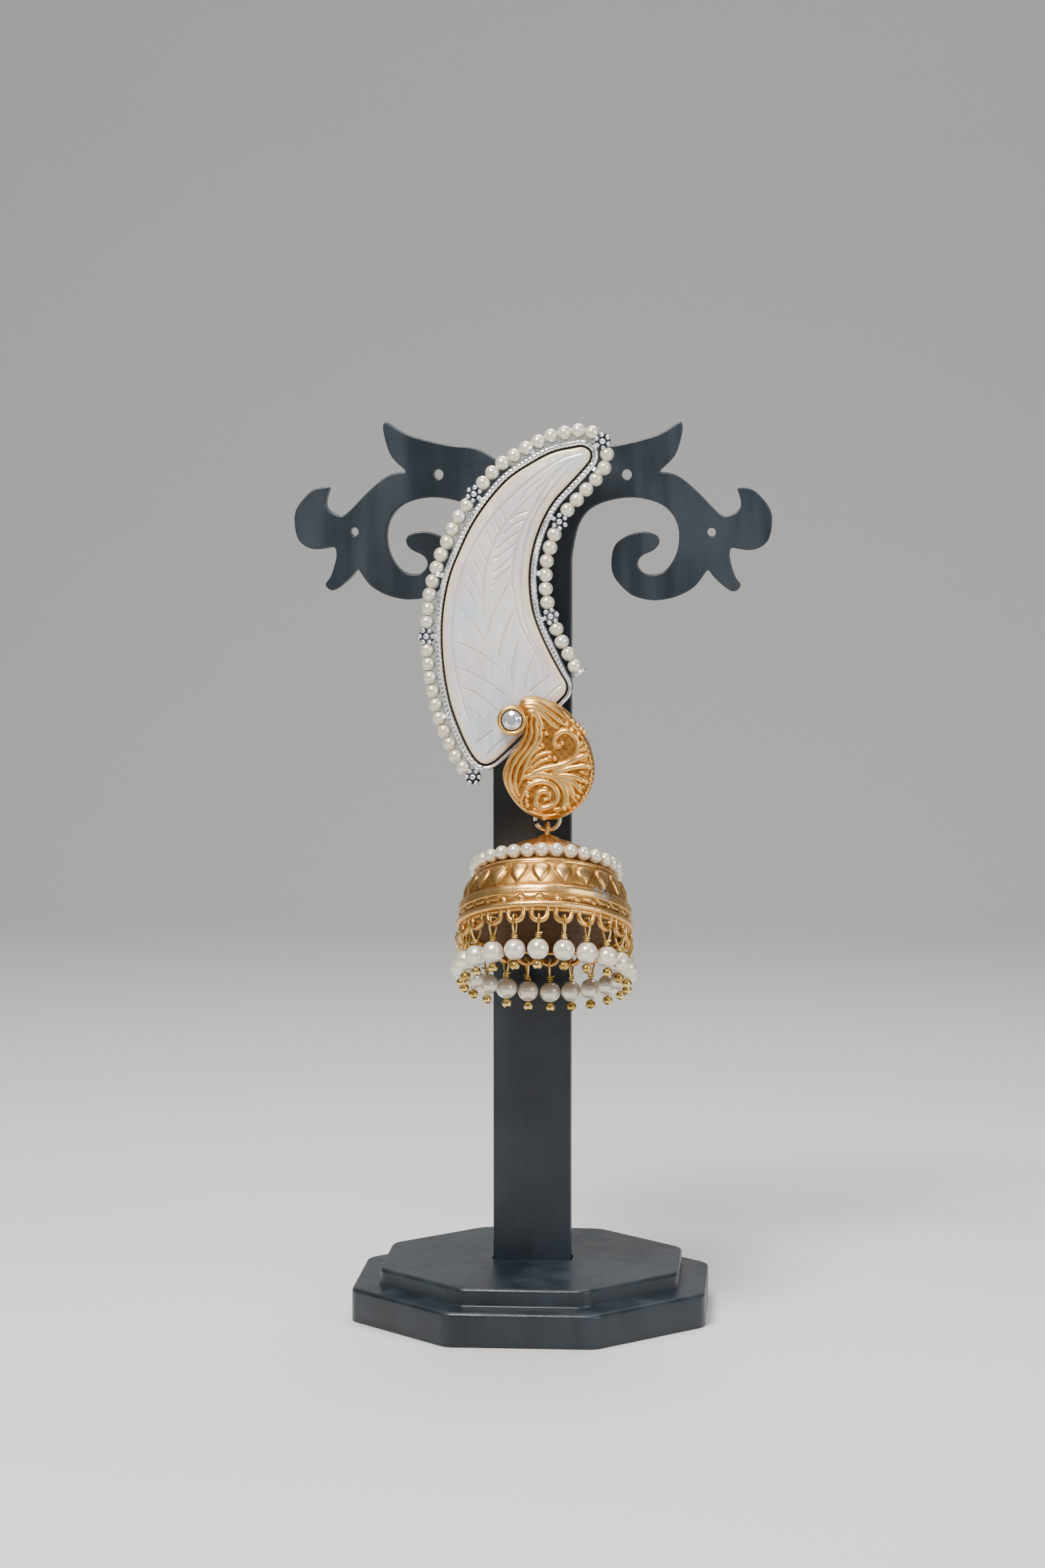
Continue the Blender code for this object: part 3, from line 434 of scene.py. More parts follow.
@dataclass(frozen=True)
class Nacre(Finish):
    """Polished mother of pearl, warmer on its bevelled rim, with painted shade darkening its engraved
    grooves.
    """

    name: str = "Polished nacre"
    field: Colour = (0.70, 0.69, 0.66)
    cool: Colour = (0.47, 0.59, 0.71)
    rosy: Colour = (0.60, 0.51, 0.58)
    layer: Colour = (0.78, 0.79, 0.78)
    rim: Colour = (0.72, 0.58, 0.42)
    cut: Colour = (0.44, 0.38, 0.32)
    groove_shade_share: float = 0.6
    roughness: Pair = (0.16, 0.30)
    drift_scale: float = 90.0
    layer_scale: float = 900.0
    layer_length: float = 0.25
    layer_depth: float = 0.00004

    def paint(self, w: Wiring) -> Inputs:
        """Wire the nacre with its drawn-out layers."""
        lustre = w.group(lustre_group(), {
            "Scale": self.drift_scale, "Warm": self.field, "Cool": self.cool, "Rosy": self.rosy})
        layers = w.noise(self.layer_scale, 4.0, w.stretched(self.layer_length))
        pale = w.span(layers, 0.4, 0.7, 0.0, 0.5)
        colour = w.blend(pale, lustre.outputs["Colour"], self.layer)
        # Painted shade: a darker colour laid along the engraved grooves
        colour = w.blend(w.times(w.mask("cut"), self.groove_shade_share), colour, self.cut)
        return {"Metallic": 0.08, "Coat Weight": 0.8, "Coat Roughness": 0.08,
                "Specular IOR Level": 0.7, "Thin Film Thickness": 420.0, "Thin Film IOR": 1.45,
                "Base Color": w.blend(w.mask("rim"), colour, self.rim),
                "Roughness": w.span(layers, 0.3, 0.7, *self.roughness),
                "Normal": w.bump(layers, self.layer_depth)}


@dataclass(frozen=True)
class CutStone(Finish):
    """A clear faceted stone."""

    name: str = "White stone"
    clear: Colour = (0.95, 0.97, 1.0)
    cloudy: Colour = (0.86, 0.90, 0.96)

    def paint(self, w: Wiring) -> Inputs:
        """Wire the stone with a faint haze."""
        haze = w.span(w.noise(900.0, 2.0), 0.4, 0.6)
        return {"Metallic": 0.5, "Transmission Weight": 0.5, "IOR": 1.9, "Roughness": 0.03,
                "Specular IOR Level": 1.0, "Base Color": w.blend(haze, self.clear, self.cloudy)}


@dataclass(frozen=True)
class MouldedPlastic(Finish):
    """Satin moulded plastic with faint flow marks and a dusting on its faces."""

    name: str = "Satin moulded plastic"
    body: Colour = (0.007, 0.011, 0.015)
    bloom: Colour = (0.021, 0.029, 0.038)
    speck: Colour = (0.05, 0.055, 0.06)
    roughness: Pair = (0.30, 0.42)
    grain_depth: float = 0.00003
    grain_roughness: float = 0.06
    mark_scale: float = 170.0
    mark_length: float = 0.15
    mark_share: float = 0.5
    blotch_share: float = 0.35
    speck_scale: float = 2300.0

    def paint(self, w: Wiring) -> Inputs:
        """Wire the plastic with its bloom and its specks."""
        grain = w.group(grain_group(), {"Scale": 2600.0, "Blotch Scale": 70.0, "Blotch": 9.0})
        marks = w.span(w.noise(self.mark_scale, 3.0, w.stretched(self.mark_length)), 0.35, 0.7)
        bloom = w.sum(w.times(marks, self.mark_share),
                      w.times(grain.outputs["Blotches"], self.blotch_share))
        specks = w.span(w.noise(self.speck_scale, 1.0), 0.72, 0.78, 0.0, 0.3)
        colour = w.blend(bloom, self.body, self.bloom)
        rough = w.sum(w.span(marks, 0.0, 1.0, *self.roughness),
                      w.times(grain.outputs["Grain"], self.grain_roughness))
        return {"Metallic": 0.0, "Specular IOR Level": 0.45,
                "Base Color": w.blend(specks, colour, self.speck), "Roughness": rough,
                "Normal": w.bump(grain.outputs["Height"], self.grain_depth)}


@dataclass(frozen=True)
class StudioCard(Finish):
    """Plain pale paper for the floor."""

    name: str = "Pale card"
    colour: Colour = (0.62, 0.62, 0.61)
    fibre: Colour = (0.5, 0.5, 0.5)

    def paint(self, w: Wiring) -> Inputs:
        """Wire the card with its faint fibres."""
        fibres = w.span(w.noise(900.0, 3.0), 0.3, 0.7, 0.0, 0.08)
        return {"Roughness": 0.85, "Base Color": w.blend(fibres, self.colour, self.fibre)}


PAISLEY_GOLD = CastMetal("Matte gold", (0.74, 0.38, 0.09), (0.20, 0.075, 0.014), (0.93, 0.60, 0.21),
                         roughness=(0.31, 0.46), depth=0.85, uneven=0.3, grain_depth=0.000025)
BELL_GOLD = CastMetal("Antique gold", (0.70, 0.37, 0.10), (0.15, 0.058, 0.014), (0.94, 0.60, 0.24),
                      roughness=(0.27, 0.5), uneven=0.5, has_scuff=True)
# Near-black gold for the bell's inside: painted shade, lighter only towards its mouth
BELL_INSIDE_SHADE = CastMetal("Bell inside in painted shade", (0.13, 0.065, 0.025), (0.03, 0.014, 0.006),
                      (0.28, 0.15, 0.06), roughness=(0.45, 0.65), uneven=0.8)
RING_GOLD = CastMetal("Pale gold wire", (0.90, 0.70, 0.42), (0.50, 0.32, 0.12), (0.98, 0.84, 0.62),
                      roughness=(0.16, 0.30), depth=0.4, has_relief=False, grain_depth=0.00001)
PIN_GOLD = CastMetal("Yellow gold wire", (0.82, 0.55, 0.16), (0.30, 0.16, 0.03), (0.96, 0.74, 0.32),
                     roughness=(0.12, 0.28), depth=0.6, has_relief=False, grain_depth=0.00001)
SILVER = CastMetal("Bright silver", (0.88, 0.90, 0.93), (0.07, 0.08, 0.11), (0.98, 0.99, 1.0),
                   roughness=(0.22, 0.5), depth=0.92, uneven=0.3, grain_depth=0.00002)
# Near-black silver: painted shade in the flowers' cups between the granules, and the colour of the
# string's thread
SHADE_DARK_SILVER = CastMetal("Dark silver with painted shade", (0.10, 0.11, 0.14), (0.02, 0.022, 0.03),
                        (0.34, 0.35, 0.38), roughness=(0.35, 0.55), has_relief=False,
                        grain_depth=0.00003)
PIN_STEEL = CastMetal("Polished pin", (0.66, 0.67, 0.69), (0.30, 0.31, 0.33), (0.85, 0.86, 0.88),
                      roughness=(0.14, 0.28), depth=0.4, has_relief=False, grain_depth=0.00001)
CREAM_PEARL = Pearl("Cream pearl")
WHITE_PEARL = Pearl("White pearl", (0.79, 0.72, 0.56), (0.80, 0.77, 0.68), (0.78, 0.69, 0.56))


# Curves in the plane


def around(count: int, shift: float = 0.0) -> list[Pair]:
    """Return the cosine and sine of even turns, all moved on by a share of a step."""
    turns = [math.tau * (k + shift) / count for k in range(count)]
    return [(math.cos(turn), math.sin(turn)) for turn in turns]


def run_lengths(line: Places) -> Array:
    """Return how far along a line each of its points lies."""
    return np.concatenate([[0.0], np.cumsum(np.linalg.norm(np.diff(line, axis=0), axis=1))])


def read_along(line: Places, stations: Array) -> Places:
    """Return the points of a line at distances along it, measured over all its columns."""
    lengths = run_lengths(line)
    return np.stack([np.interp(stations, lengths, column) for column in line.T], axis=1)


def curve_through(points: Iterable[Pair], steps: int, closed: bool) -> Places:
    """Return points on a Catmull-Rom curve.

    Args:
        points: The points it runs through.
        steps: How many points each span gets.
        closed: Whether the last point joins the first.

    Returns:
        The curve's points as an array of pairs.
    """
    given = np.array(list(points), float)
    if closed:
        padded = np.vstack([given[-1:], given, given[:2]])
    else:
        padded = np.vstack([given[:1], given, given[-1:]])
    t = (np.arange(steps) / steps)[None, :, None]
    before, start, end, after = (padded[k:len(padded) - 3 + k, None, :] for k in range(4))
    curve = 0.5 * (2 * start + (end - before) * t
                   + (2 * before - 5 * start + 4 * end - after) * t ** 2
                   + (3 * start - before - 3 * end + after) * t ** 3)
    curve = curve.reshape(-1, given.shape[1])
    return curve if closed else np.vstack([curve, given[-1:]])


def moved_outline(points: Places, distance: float, mitre_limit: float = 0.6) -> Places:
    """Return a closed outline moved outwards by a distance.

    Args:
        points: The outline.
        distance: How far, negative for inwards.
        mitre_limit: The least cosine that a corner is stretched by.

    Returns:
        The moved outline with as many points.
    """
    before = points - np.roll(points, 1, axis=0)
    after = np.roll(points, -1, axis=0) - points
    following = np.roll(points, -1, axis=0)
    area = np.sum(points[:, 0] * following[:, 1] - following[:, 0] * points[:, 1])
    before /= np.linalg.norm(before, axis=1, keepdims=True)
    after /= np.linalg.norm(after, axis=1, keepdims=True)
    along = before + after
    along /= np.linalg.norm(along, axis=1, keepdims=True)
    stretch = 1.0 / np.maximum(np.sum(along * after, axis=1, keepdims=True), mitre_limit)
    normal = np.stack([along[:, 1], -along[:, 0]], axis=1) * np.sign(area)
    return points + normal * distance * stretch


def evenly(points: Places, spacing: float) -> Places:
    """Return a closed outline resampled at an even spacing."""
    line = np.vstack([points, points[:1]])
    total = run_lengths(line)[-1]
    count = max(int(round(total / spacing)), 3)
    return read_along(line, np.linspace(0.0, total, count, endpoint=False))


def near_route(places: Places, route: Places) -> tuple[Array, Array]:
    """Return each place's distance to a route and how far along it the nearest point lies.

    Args:
        places: The places.
        route: The route's points.

    Returns:
        The distances, and the shares of the route's length.
    """
    lengths = run_lengths(route)
    best = np.full(len(places), np.inf)
    along = np.zeros(len(places))
    for k, (start, end) in enumerate(zip(route, route[1:])):
        run = end - start
        share = np.clip((places - start) @ run / max(run @ run, 1e-18), 0.0, 1.0)
        distance = np.linalg.norm(places - start - share[:, None] * run, axis=1)
        closer = distance < best
        best[closer] = distance[closer]
        along[closer] = (lengths[k] + share[closer] * (lengths[k + 1] - lengths[k])) / lengths[-1]
    return best, along


def inside(places: Places, outline: Places) -> Array:
    """Return which places lie inside a closed outline."""
    x, z = places[:, 0], places[:, 1]
    result = np.zeros(len(places), bool)
    for start, end in zip(outline, np.roll(outline, -1, axis=0)):
        crosses = (start[1] > z) != (end[1] > z)
        rise = end[1] - start[1] if end[1] != start[1] else 1e-18
        result ^= crosses & (x < (end[0] - start[0]) * (z - start[1]) / rise + start[0])
    return result


def ease(value: Array, low: float, high: float) -> Array:
    """Return 0 below low, 1 above high and a smooth step between."""
    t = np.clip((value - low) / (high - low), 0.0, 1.0)
    return t * t * (3 - 2 * t)


def band(value: Array, rises: Pair, falls: Pair) -> Array:
    """Return 1 between two eased edges and 0 outside them."""
    return ease(value, *rises) * (1 - ease(value, *falls))


# Meshes


@dataclass
class Form:
    """Points, faces and stored values gathered for one piece."""

    points: list[Array] = field(default_factory=list)
    faces: list[tuple[int, ...]] = field(default_factory=list)
    masks: dict[str, list[Array]] = field(default_factory=dict)
    count: int = 0

    def add(self, points: Array, faces: Iterable[tuple[int, ...]], **masks: object) -> None:
        """Take in points with their faces.

        Args:
            points: The points.
            faces: Faces as indices into them.
            **masks: Stored values by name, one for all or one each.
        """
        for name in masks:
            self.masks.setdefault(name, [np.zeros(self.count)])
        for name, stored in self.masks.items():
            value = np.asarray(masks.get(name, 0.0), float)
            stored.append(np.broadcast_to(value, (len(points),)).copy())
        self.points.append(np.asarray(points, float))
        self.faces.extend(tuple(int(i) + self.count for i in face) for face in faces)
        self.count += len(points)

    def skin(self, rings: Array, looped: bool = False, capped: bool = True,
             **masks: object) -> None:
        """Skin rings of equal point counts.

        Args:
            rings: The rings, as rows of points.
            looped: Whether the last ring joins the first.
            capped: Whether the ends get flat caps.
            **masks: Stored values by name, one for all or an array of the rings' shape.
        """
        rows, columns = rings.shape[:2]
        faces = []
        for i in range(rows if looped else rows - 1):
            a, b = i * columns, ((i + 1) % rows) * columns
            faces.extend((a + k, a + (k + 1) % columns, b + (k + 1) % columns, b + k)
                         for k in range(columns))
        if capped and not looped:
            faces.append(tuple(range(columns)))
            faces.append(tuple(range((rows - 1) * columns, rows * columns)))
        flat = {name: np.asarray(value, float).reshape(-1) if np.ndim(value) else value
                for name, value in masks.items()}
        self.add(rings.reshape(-1, 3), faces, **flat)

    def ball(self, centre: Vector, radius: float, sides: int = 20, squash: float = 1.0,
             turn: Matrix | None = None, **masks: object) -> None:
        """Add a round ball.

        Args:
            centre: Its centre.
            radius: Its radius.
            sides: Points round its middle.
            squash: Its height along its pole as a share of its width.
            turn: How its pole is turned from +Z.
            **masks: Stored values.
        """
        bands = max(sides // 2, 4)
        polar = np.linspace(0.0, math.pi, bands + 1)[1:-1, None]
        turns = (np.arange(sides) * math.tau / sides)[None, :]
        middle = np.stack([np.sin(polar) * np.cos(turns), np.sin(polar) * np.sin(turns),
                           np.cos(polar) * np.ones_like(turns) * squash], axis=-1).reshape(-1, 3)
        points = np.vstack([middle, [[0, 0, squash], [0, 0, -squash]]]) * radius
        if turn is not None:
            points = points @ np.array(turn).T
        top, bottom = len(middle), len(middle) + 1
        faces = [(k, (k + 1) % sides, top) for k in range(sides)]
        last = (bands - 2) * sides
        faces += [(last + (k + 1) % sides, last + k, bottom) for k in range(sides)]
        for i in range(bands - 2):
            faces += [(i * sides + k, (i + 1) * sides + k, (i + 1) * sides + (k + 1) % sides,
                       i * sides + (k + 1) % sides) for k in range(sides)]
        self.add(points + np.array(centre), faces, **masks)

    def wire(self, path: Iterable[Vector], radius: object, sides: int = 10, looped: bool = False,
             **masks: object) -> None:
        """Add a round wire along a path.

        Args:
            path: The points it runs through.
            radius: Its radius, one for all or one for each point.
            sides: Points round it.
            looped: Whether its end joins its start.
            **masks: Stored values.
        """
        line = [Vector(point) for point in path]
        count = len(line)
        radii = np.broadcast_to(np.asarray(radius, float), (count,)).tolist()
        alongs = []
        for i in range(count):
            before = line[i - 1] if looped or i else line[i]
            after = line[(i + 1) % count] if looped or i < count - 1 else line[i]
            alongs.append((after - before).normalized())
        side = alongs[0].orthogonal().normalized()
        carried = []
        for along in alongs:
            side = (side - along * side.dot(along)).normalized()
            carried.append(side.copy())
        if looped:
            twist = self._closing_twist(alongs, carried)
            carried = [Matrix.Rotation(twist * i / count, 3, along) @ side
                       for i, (along, side) in enumerate(zip(alongs, carried))]
        rings = [circle(point, reach, side, along.cross(side), sides)
                 for point, along, side, reach in zip(line, alongs, carried, radii)]
        self.skin(np.array(rings), looped=looped, **masks)

    @staticmethod
    def _closing_twist(alongs: list[Vector], sides: list[Vector]) -> float:
        """Return the turn that brings a looped wire's last section back to its first.

        Args:
            alongs: The wire's directions.
            sides: Its carried sideways vectors.

        Returns:
            The turn in radians.
        """
        carried = (sides[-1] - alongs[0] * sides[-1].dot(alongs[0])).normalized()
        return math.atan2(carried.cross(sides[0]).dot(alongs[0]), carried.dot(sides[0]))

    def plaque(self, outline: Places, spacing: float,
               front: Callable[[Places], tuple[Array, dict]], back: float) -> None:
        """Add a flat-backed plate whose face follows a height.

        Args:
            outline: Its edge as X and Z.
            spacing: The distance between its points.
            front: Gives the face's Y and stored values at places.
            back: The Y of its back.
        """
        edge = evenly(outline, spacing)
        low, high = edge.min(axis=0), edge.max(axis=0)
        rows = np.arange(low[1], high[1], spacing * math.sqrt(3) / 2)
        columns = np.arange(low[0], high[0], spacing)
        grid = np.array([(x + (spacing / 2 if i % 2 else 0.0), z)
                         for i, z in enumerate(rows) for x in columns])
        closed_edge = np.vstack([edge, edge[:1]])
        grid = grid[inside(grid, edge)]
        grid = grid[near_route(grid, closed_edge)[0] > spacing * 0.6]
        given = [Vector(p) for p in np.vstack([edge, grid])]
        made = delaunay_2d_cdt(given, [], [list(range(len(edge)))], 1, 1e-9)
        places = np.array([tuple(p) for p in made[0]])
        levels, masks = front(places)
        ring = [0] * len(edge)
        for index, originals in enumerate(made[3]):
            for original in originals:
                if original < len(edge):
                    ring[original] = index
        behind = places[ring]
        points = np.vstack([np.stack([places[:, 0], levels, places[:, 1]], axis=1),
                            np.stack([behind[:, 0], np.full(len(ring), back), behind[:, 1]], axis=1)])
        faces = [tuple(face) for face in made[2]]
        total = len(places)
        for k in range(len(ring)):
            following = (k + 1) % len(ring)
            faces.append((ring[k], total + k, total + following, ring[following]))
        faces.append(tuple(range(total, total + len(ring))))
        masks = {name: np.concatenate([value, np.asarray(value)[ring]])
                 for name, value in masks.items()}
        self.add(points, faces, **masks)

    def moved(self, matrix: Matrix) -> None:
        """Place the form's points by a matrix."""
        turn = np.array(matrix.to_3x3())
        shift = np.array(matrix.translation)
        self.points = [points @ turn.T + shift for points in self.points]

    def place_in(self, form: "Form", matrix: Matrix) -> None:
        """Add the form's points and faces, placed by a matrix, to another form."""
        self.moved(matrix)
        form.add(np.concatenate(self.points), self.faces)

    def piece(self, name: str, finish: Finish, body: Body, slot: Slot, replaced: tuple[str, ...],
              shading: Shading = Shading.CAST) -> None:
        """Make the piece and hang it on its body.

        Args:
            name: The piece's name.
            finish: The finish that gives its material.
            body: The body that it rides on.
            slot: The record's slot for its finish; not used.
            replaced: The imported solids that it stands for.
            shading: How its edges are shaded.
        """
        data = bpy.data.meshes.new(name)
        data.from_pydata(np.concatenate(self.points).tolist(), [], self.faces)
        mesh = bmesh.new()
        mesh.from_mesh(data)
        bmesh.ops.recalc_face_normals(mesh, faces=mesh.faces)
        mesh.to_mesh(data)
        mesh.free()
        for key, stored in self.masks.items():
            layer = data.attributes.new(key, "FLOAT", "POINT")
            layer.data.foreach_set("value", np.concatenate(stored).astype(np.float32))
        data.materials.append(finish.material())
        data.shade_smooth()
        data.set_sharp_from_angle(angle=math.radians(shading.value))
        item = bpy.data.objects.new(name, data)
        bpy.context.scene.collection.objects.link(item)
        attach(item, body.value)
        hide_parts(*replaced)
        LOG.info("%-22s %7d points on %s", name, len(data.vertices), body.value)


def circle(centre: Vector, radius: float, first: Vector, second: Vector, count: int) -> list[Vector]:
    """Return the points of a circle.

    Args:
        centre: Its centre.
        radius: Its radius.
        first: A unit vector in its plane.
        second: The other unit vector in its plane.
        count: How many points.

    Returns:
        The points in order.
    """
    return [centre + radius * (first * c + second * s) for c, s in around(count)]


def turned_rings(stations: Iterable[Pair], count: int,
                 centre: Pair = (0.0, 0.0), upright: bool = False) -> Array:
    """Return the rings of a turned form.

    Args:
        stations: Its radii and their levels along the axis.
        count: Points in each ring.
        centre: Where the axis passes, as X and Z, or as X and Y where it is upright.
        upright: Whether the axis runs along Z, and not along Y.

    Returns:
        The rings as rows of points.
    """
    x, other = centre
    rings = np.array([[(x + reach * c, other + reach * s, level) for c, s in around(count)]
                      for reach, level in stations])
    return rings if upright else rings[:, :, [0, 2, 1]]


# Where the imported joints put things


def joint_place(name: str) -> Vector:
    """Return the point that a joint turns about, at rest."""
    return next(Vector(joint["pos_m"]) for joint in frame["joints"] if joint["name"] == name)


def middle_of(node: str) -> Vector:
    """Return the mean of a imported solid's points."""
    points = frame["nodes"][node].data.vertices
    return sum((vertex.co for vertex in points), Vector()) / len(points)


RING_HINGE = joint_place("ring_swing")
BELL_PIVOT = joint_place("bell_swing")
BELL_DOWN = (middle_of("bell_pearls") - BELL_PIVOT).normalized()
BELL_LEAN = math.atan2(-BELL_DOWN.y, -BELL_DOWN.z)
BELL_FRAME = Matrix.Translation(BELL_PIVOT) @ Matrix.Rotation(-BELL_LEAN, 4, "X")
RIM_COUNT = 22


def rim_turn(index: float) -> float:
    """Return the turn of one of the rim's repeats, the first at the front."""
    return math.tau * index / RIM_COUNT


# Stand


@dataclass
class Stand:
    """The plastic stand: a stepped eight-sided foot and one flat plate with a scrolled arm."""

    base_width: float = 0.0642
    step_width: float = 0.0544
    step_height: float = 0.0062
    base_height: float = 0.0095
    edge: float = 0.0007
    corner: float = 0.0016
    socket_depth: float = 0.0046
    clearance: float = 0.00025
    post_width: float = 0.0142
    thickness: float = 0.0040
    reach: float = 0.0433
    arm_foot: float = 0.1307
    arm_height: float = 0.0324
    root_drop: float = 0.0027
    plate_edge: float = 0.00026
    bore_sides: int = 28
    arc_steps: int = 6
    plate_arc_steps: int = 4
    corner_steps: int = 8
    cove: Route = ((1.0, 0.0), (0.62, 0.03), (0.3, 0.13), (0.1, 0.34), (0.0, 0.7))
    steps: int = 10
    spacing: float = 0.00022
    softening: int = 9
    holes: tuple[Triple, ...] = ((0.394, 0.700, 0.0019), (0.748, 0.380, 0.0016))
    pin_hole: Pair = (0.1515, 0.0013)
    half_runs: tuple[Route, ...] = (
        ((0, .74), (.12, .762), (.24, .845), (.366, .867), (.525, .923), (.62, 1)),
        ((.62, 1), (.625, .948), (.594, .807), (.524, .715)),
        ((.524, .715), (.6, .698), (.685, .609), (.77, .493), (.807, .468), (.862, .503),
         (.87, .553), (.851, .632)),
        ((.851, .632), (.92, .615), (.986, .521), (1, .44), (.982, .33), (.919, .281),
         (.828, .297)),
        ((.828, .297), (.823, .242), (.848, .128), (.873, .089), (.859, .059), (.83, .052),
         (.766, .121), (.734, .178)),
        ((.734, .178), (.686, .086), (.636, .04), (.58, .012), (.516, 0), (.452, .012),
         (.399, .046), (.336, .151), (.34, .29), (.385, .352), (.442, .38), (.494, .377),
         (.528, .35), (.528, .312), (.504, .276), (.466, .255), (.441, .222), (.442, .182),
         (.479, .143), (.553, .163), (.606, .276), (.608, .418), (.552, .524), (.446, .57),
         (.336, .56), (.245, .511), (.196, .428), (.174, .325)))
    finish: MouldedPlastic = MouldedPlastic()

    def build(self) -> None:
        """Make both pieces."""
        self.build_base()
        self.build_plate()

    def octagon(self, width: float) -> Places:
        """Return an eight-sided outline with rounded corners and a flat side to the front."""
        corners = np.array(around(8, 0.5)) * (width / 2 / math.cos(math.pi / 8))
        points = []
        for k, here in enumerate(corners):
            before, after = (here + (other - here) / np.linalg.norm(other - here) * self.corner
                             for other in (corners[k - 1], corners[(k + 1) % len(corners)]))
            for t in np.linspace(0, 1, self.corner_steps + 1):
                points.append(before * (1 - t) ** 2 + here * 2 * t * (1 - t) + after * t ** 2)
        return np.array(points)

    def build_base(self) -> None:
        """Make the foot with rounded edges and the post's socket."""
        stations = [(self.base_width - self.edge, 0.0)]
        stations += self.rounding(self.base_width, 0.0, self.edge / 2, False)
        stations += self.rounding(self.base_width, self.step_height, self.edge, True)
        stations += [(self.step_width + 2 * self.edge * share, self.step_height + self.edge * rise)
                     for share, rise in self.cove]
        stations += self.rounding(self.step_width, self.base_height, self.edge, True)
        stations += [(self.step_width - 3 * self.edge, self.base_height)]
        form = Form()
        rings = np.array([[(x, y, level) for x, y in self.octagon(width)]
                          for width, level in stations])
        form.skin(rings, capped=False)
        form.add(rings[0], [tuple(range(rings.shape[1]))])
        half_x = self.post_width / 2 + self.clearance
        half_y = self.thickness / 2 + self.clearance
        mouth = [(-half_x, -half_y), (half_x, -half_y), (half_x, half_y), (-half_x, half_y)]
        outer = [Vector(p) for p in rings[-1]]
        lip = [Vector((x, y, self.base_height)) for x, y in mouth]
        triangles = tessellate_polygon([outer, lip])
        form.add(np.array(outer + lip), triangles)
        walls = np.array([[(x, y, z) for x, y in mouth]
                          for z in (self.base_height, self.base_height - self.socket_depth)])
        form.skin(walls, capped=False)
        form.add(walls[1], [(0, 1, 2, 3)])
        form.piece("stand_foot", self.finish, Body.STAND, Slot.PLASTIC, ("stand_base",),
                   Shading.EDGED)

    def rounding(self, width: float, level: float, radius: float,
                 top: bool) -> list[Pair]:
        """Return the stations of a rounded edge from a side wall to a face.

        Args:
            width: The side wall's width across.
            level: The face's level.
            radius: The rounding.
            top: Whether the face looks up.

        Returns:
            Widths and levels, from the bottom up.
        """
        arc = np.linspace(0.0, math.pi / 2, self.arc_steps + 1)
        turned = [(width - 2 * radius * (1 - math.cos(a)), radius * (1 - math.sin(a))) for a in arc]
        if top:
            return [(w, level - inset) for w, inset in turned]
        return [(w, level + inset) for w, inset in reversed(turned)]

    def outline(self) -> Places:
        """Return the plate's outline, smooth between its corners, which are rounded a little."""
        half = []
        for run in self.half_runs:
            placed = [(across * self.reach, self.arm_foot + up * self.arm_height)
                      for across, up in run]
            half.extend(curve_through(placed, self.steps, False)[:-1].tolist())
        half.append(placed[-1])
        side = self.post_width / 2
        half.append((side, placed[-1][1] - self.root_drop))
        foot = self.base_height - self.socket_depth + self.clearance
        half.append((side, foot))
        mirrored = [(-x, z) for x, z in reversed(half) if x > 1e-6]
        points = evenly(np.array(half + mirrored), self.spacing)
        for _ in range(self.softening):
            points = (np.roll(points, 1, axis=0) + 2 * points + np.roll(points, -1, axis=0)) / 4
        return points

    def build_plate(self) -> None:
        """Make the post and arm with rounded edges and its drilled holes."""
        outline = self.outline()
        half = self.thickness / 2
        arc = np.linspace(0.0, math.pi / 2, self.plate_arc_steps + 1)
        insets = [(self.plate_edge * (1 - math.cos(a)), half - self.plate_edge * (1 - math.sin(a)))
                  for a in arc]
        insets.append((self.plate_edge * 1.2, half))
        stations = [(inset, -level) for inset, level in reversed(insets)] + insets
        form = Form()
        rings = np.array([[(x, level, z) for x, z in moved_outline(outline, -inset)]
                          for inset, level in stations])
        form.skin(rings, capped=False)
        bores = [(side * across * self.reach, self.arm_foot + up * self.arm_height, size / 2)
                 for side in (-1, 1) for across, up, size in self.holes]
        bores.append((0.0, self.pin_hole[0], self.pin_hole[1] / 2))
        loops = {-1: [], 1: []}
        for x, z, radius in bores:
            flared = [(radius + inset * 0.5, level) for inset, level in stations]
            rim = turned_rings(flared, self.bore_sides, (x, z))
            form.skin(rim, capped=False)
            loops[-1].append([Vector(p) for p in rim[0]])
            loops[1].append([Vector(p) for p in rim[-1]])
        for side, row in ((-1, 0), (1, -1)):
            polygons = [[Vector(p) for p in rings[row]], *loops[side]]
            flat = [[Vector((p.x, p.z, 0.0)) for p in polygon] for polygon in polygons]
            form.add(np.array([tuple(p) for polygon in polygons for p in polygon]),
                     tessellate_polygon(flat))
        form.piece("stand_plate", self.finish, Body.STAND, Slot.PLASTIC, ("stand_post",),
                   Shading.EDGED)


# Crescent


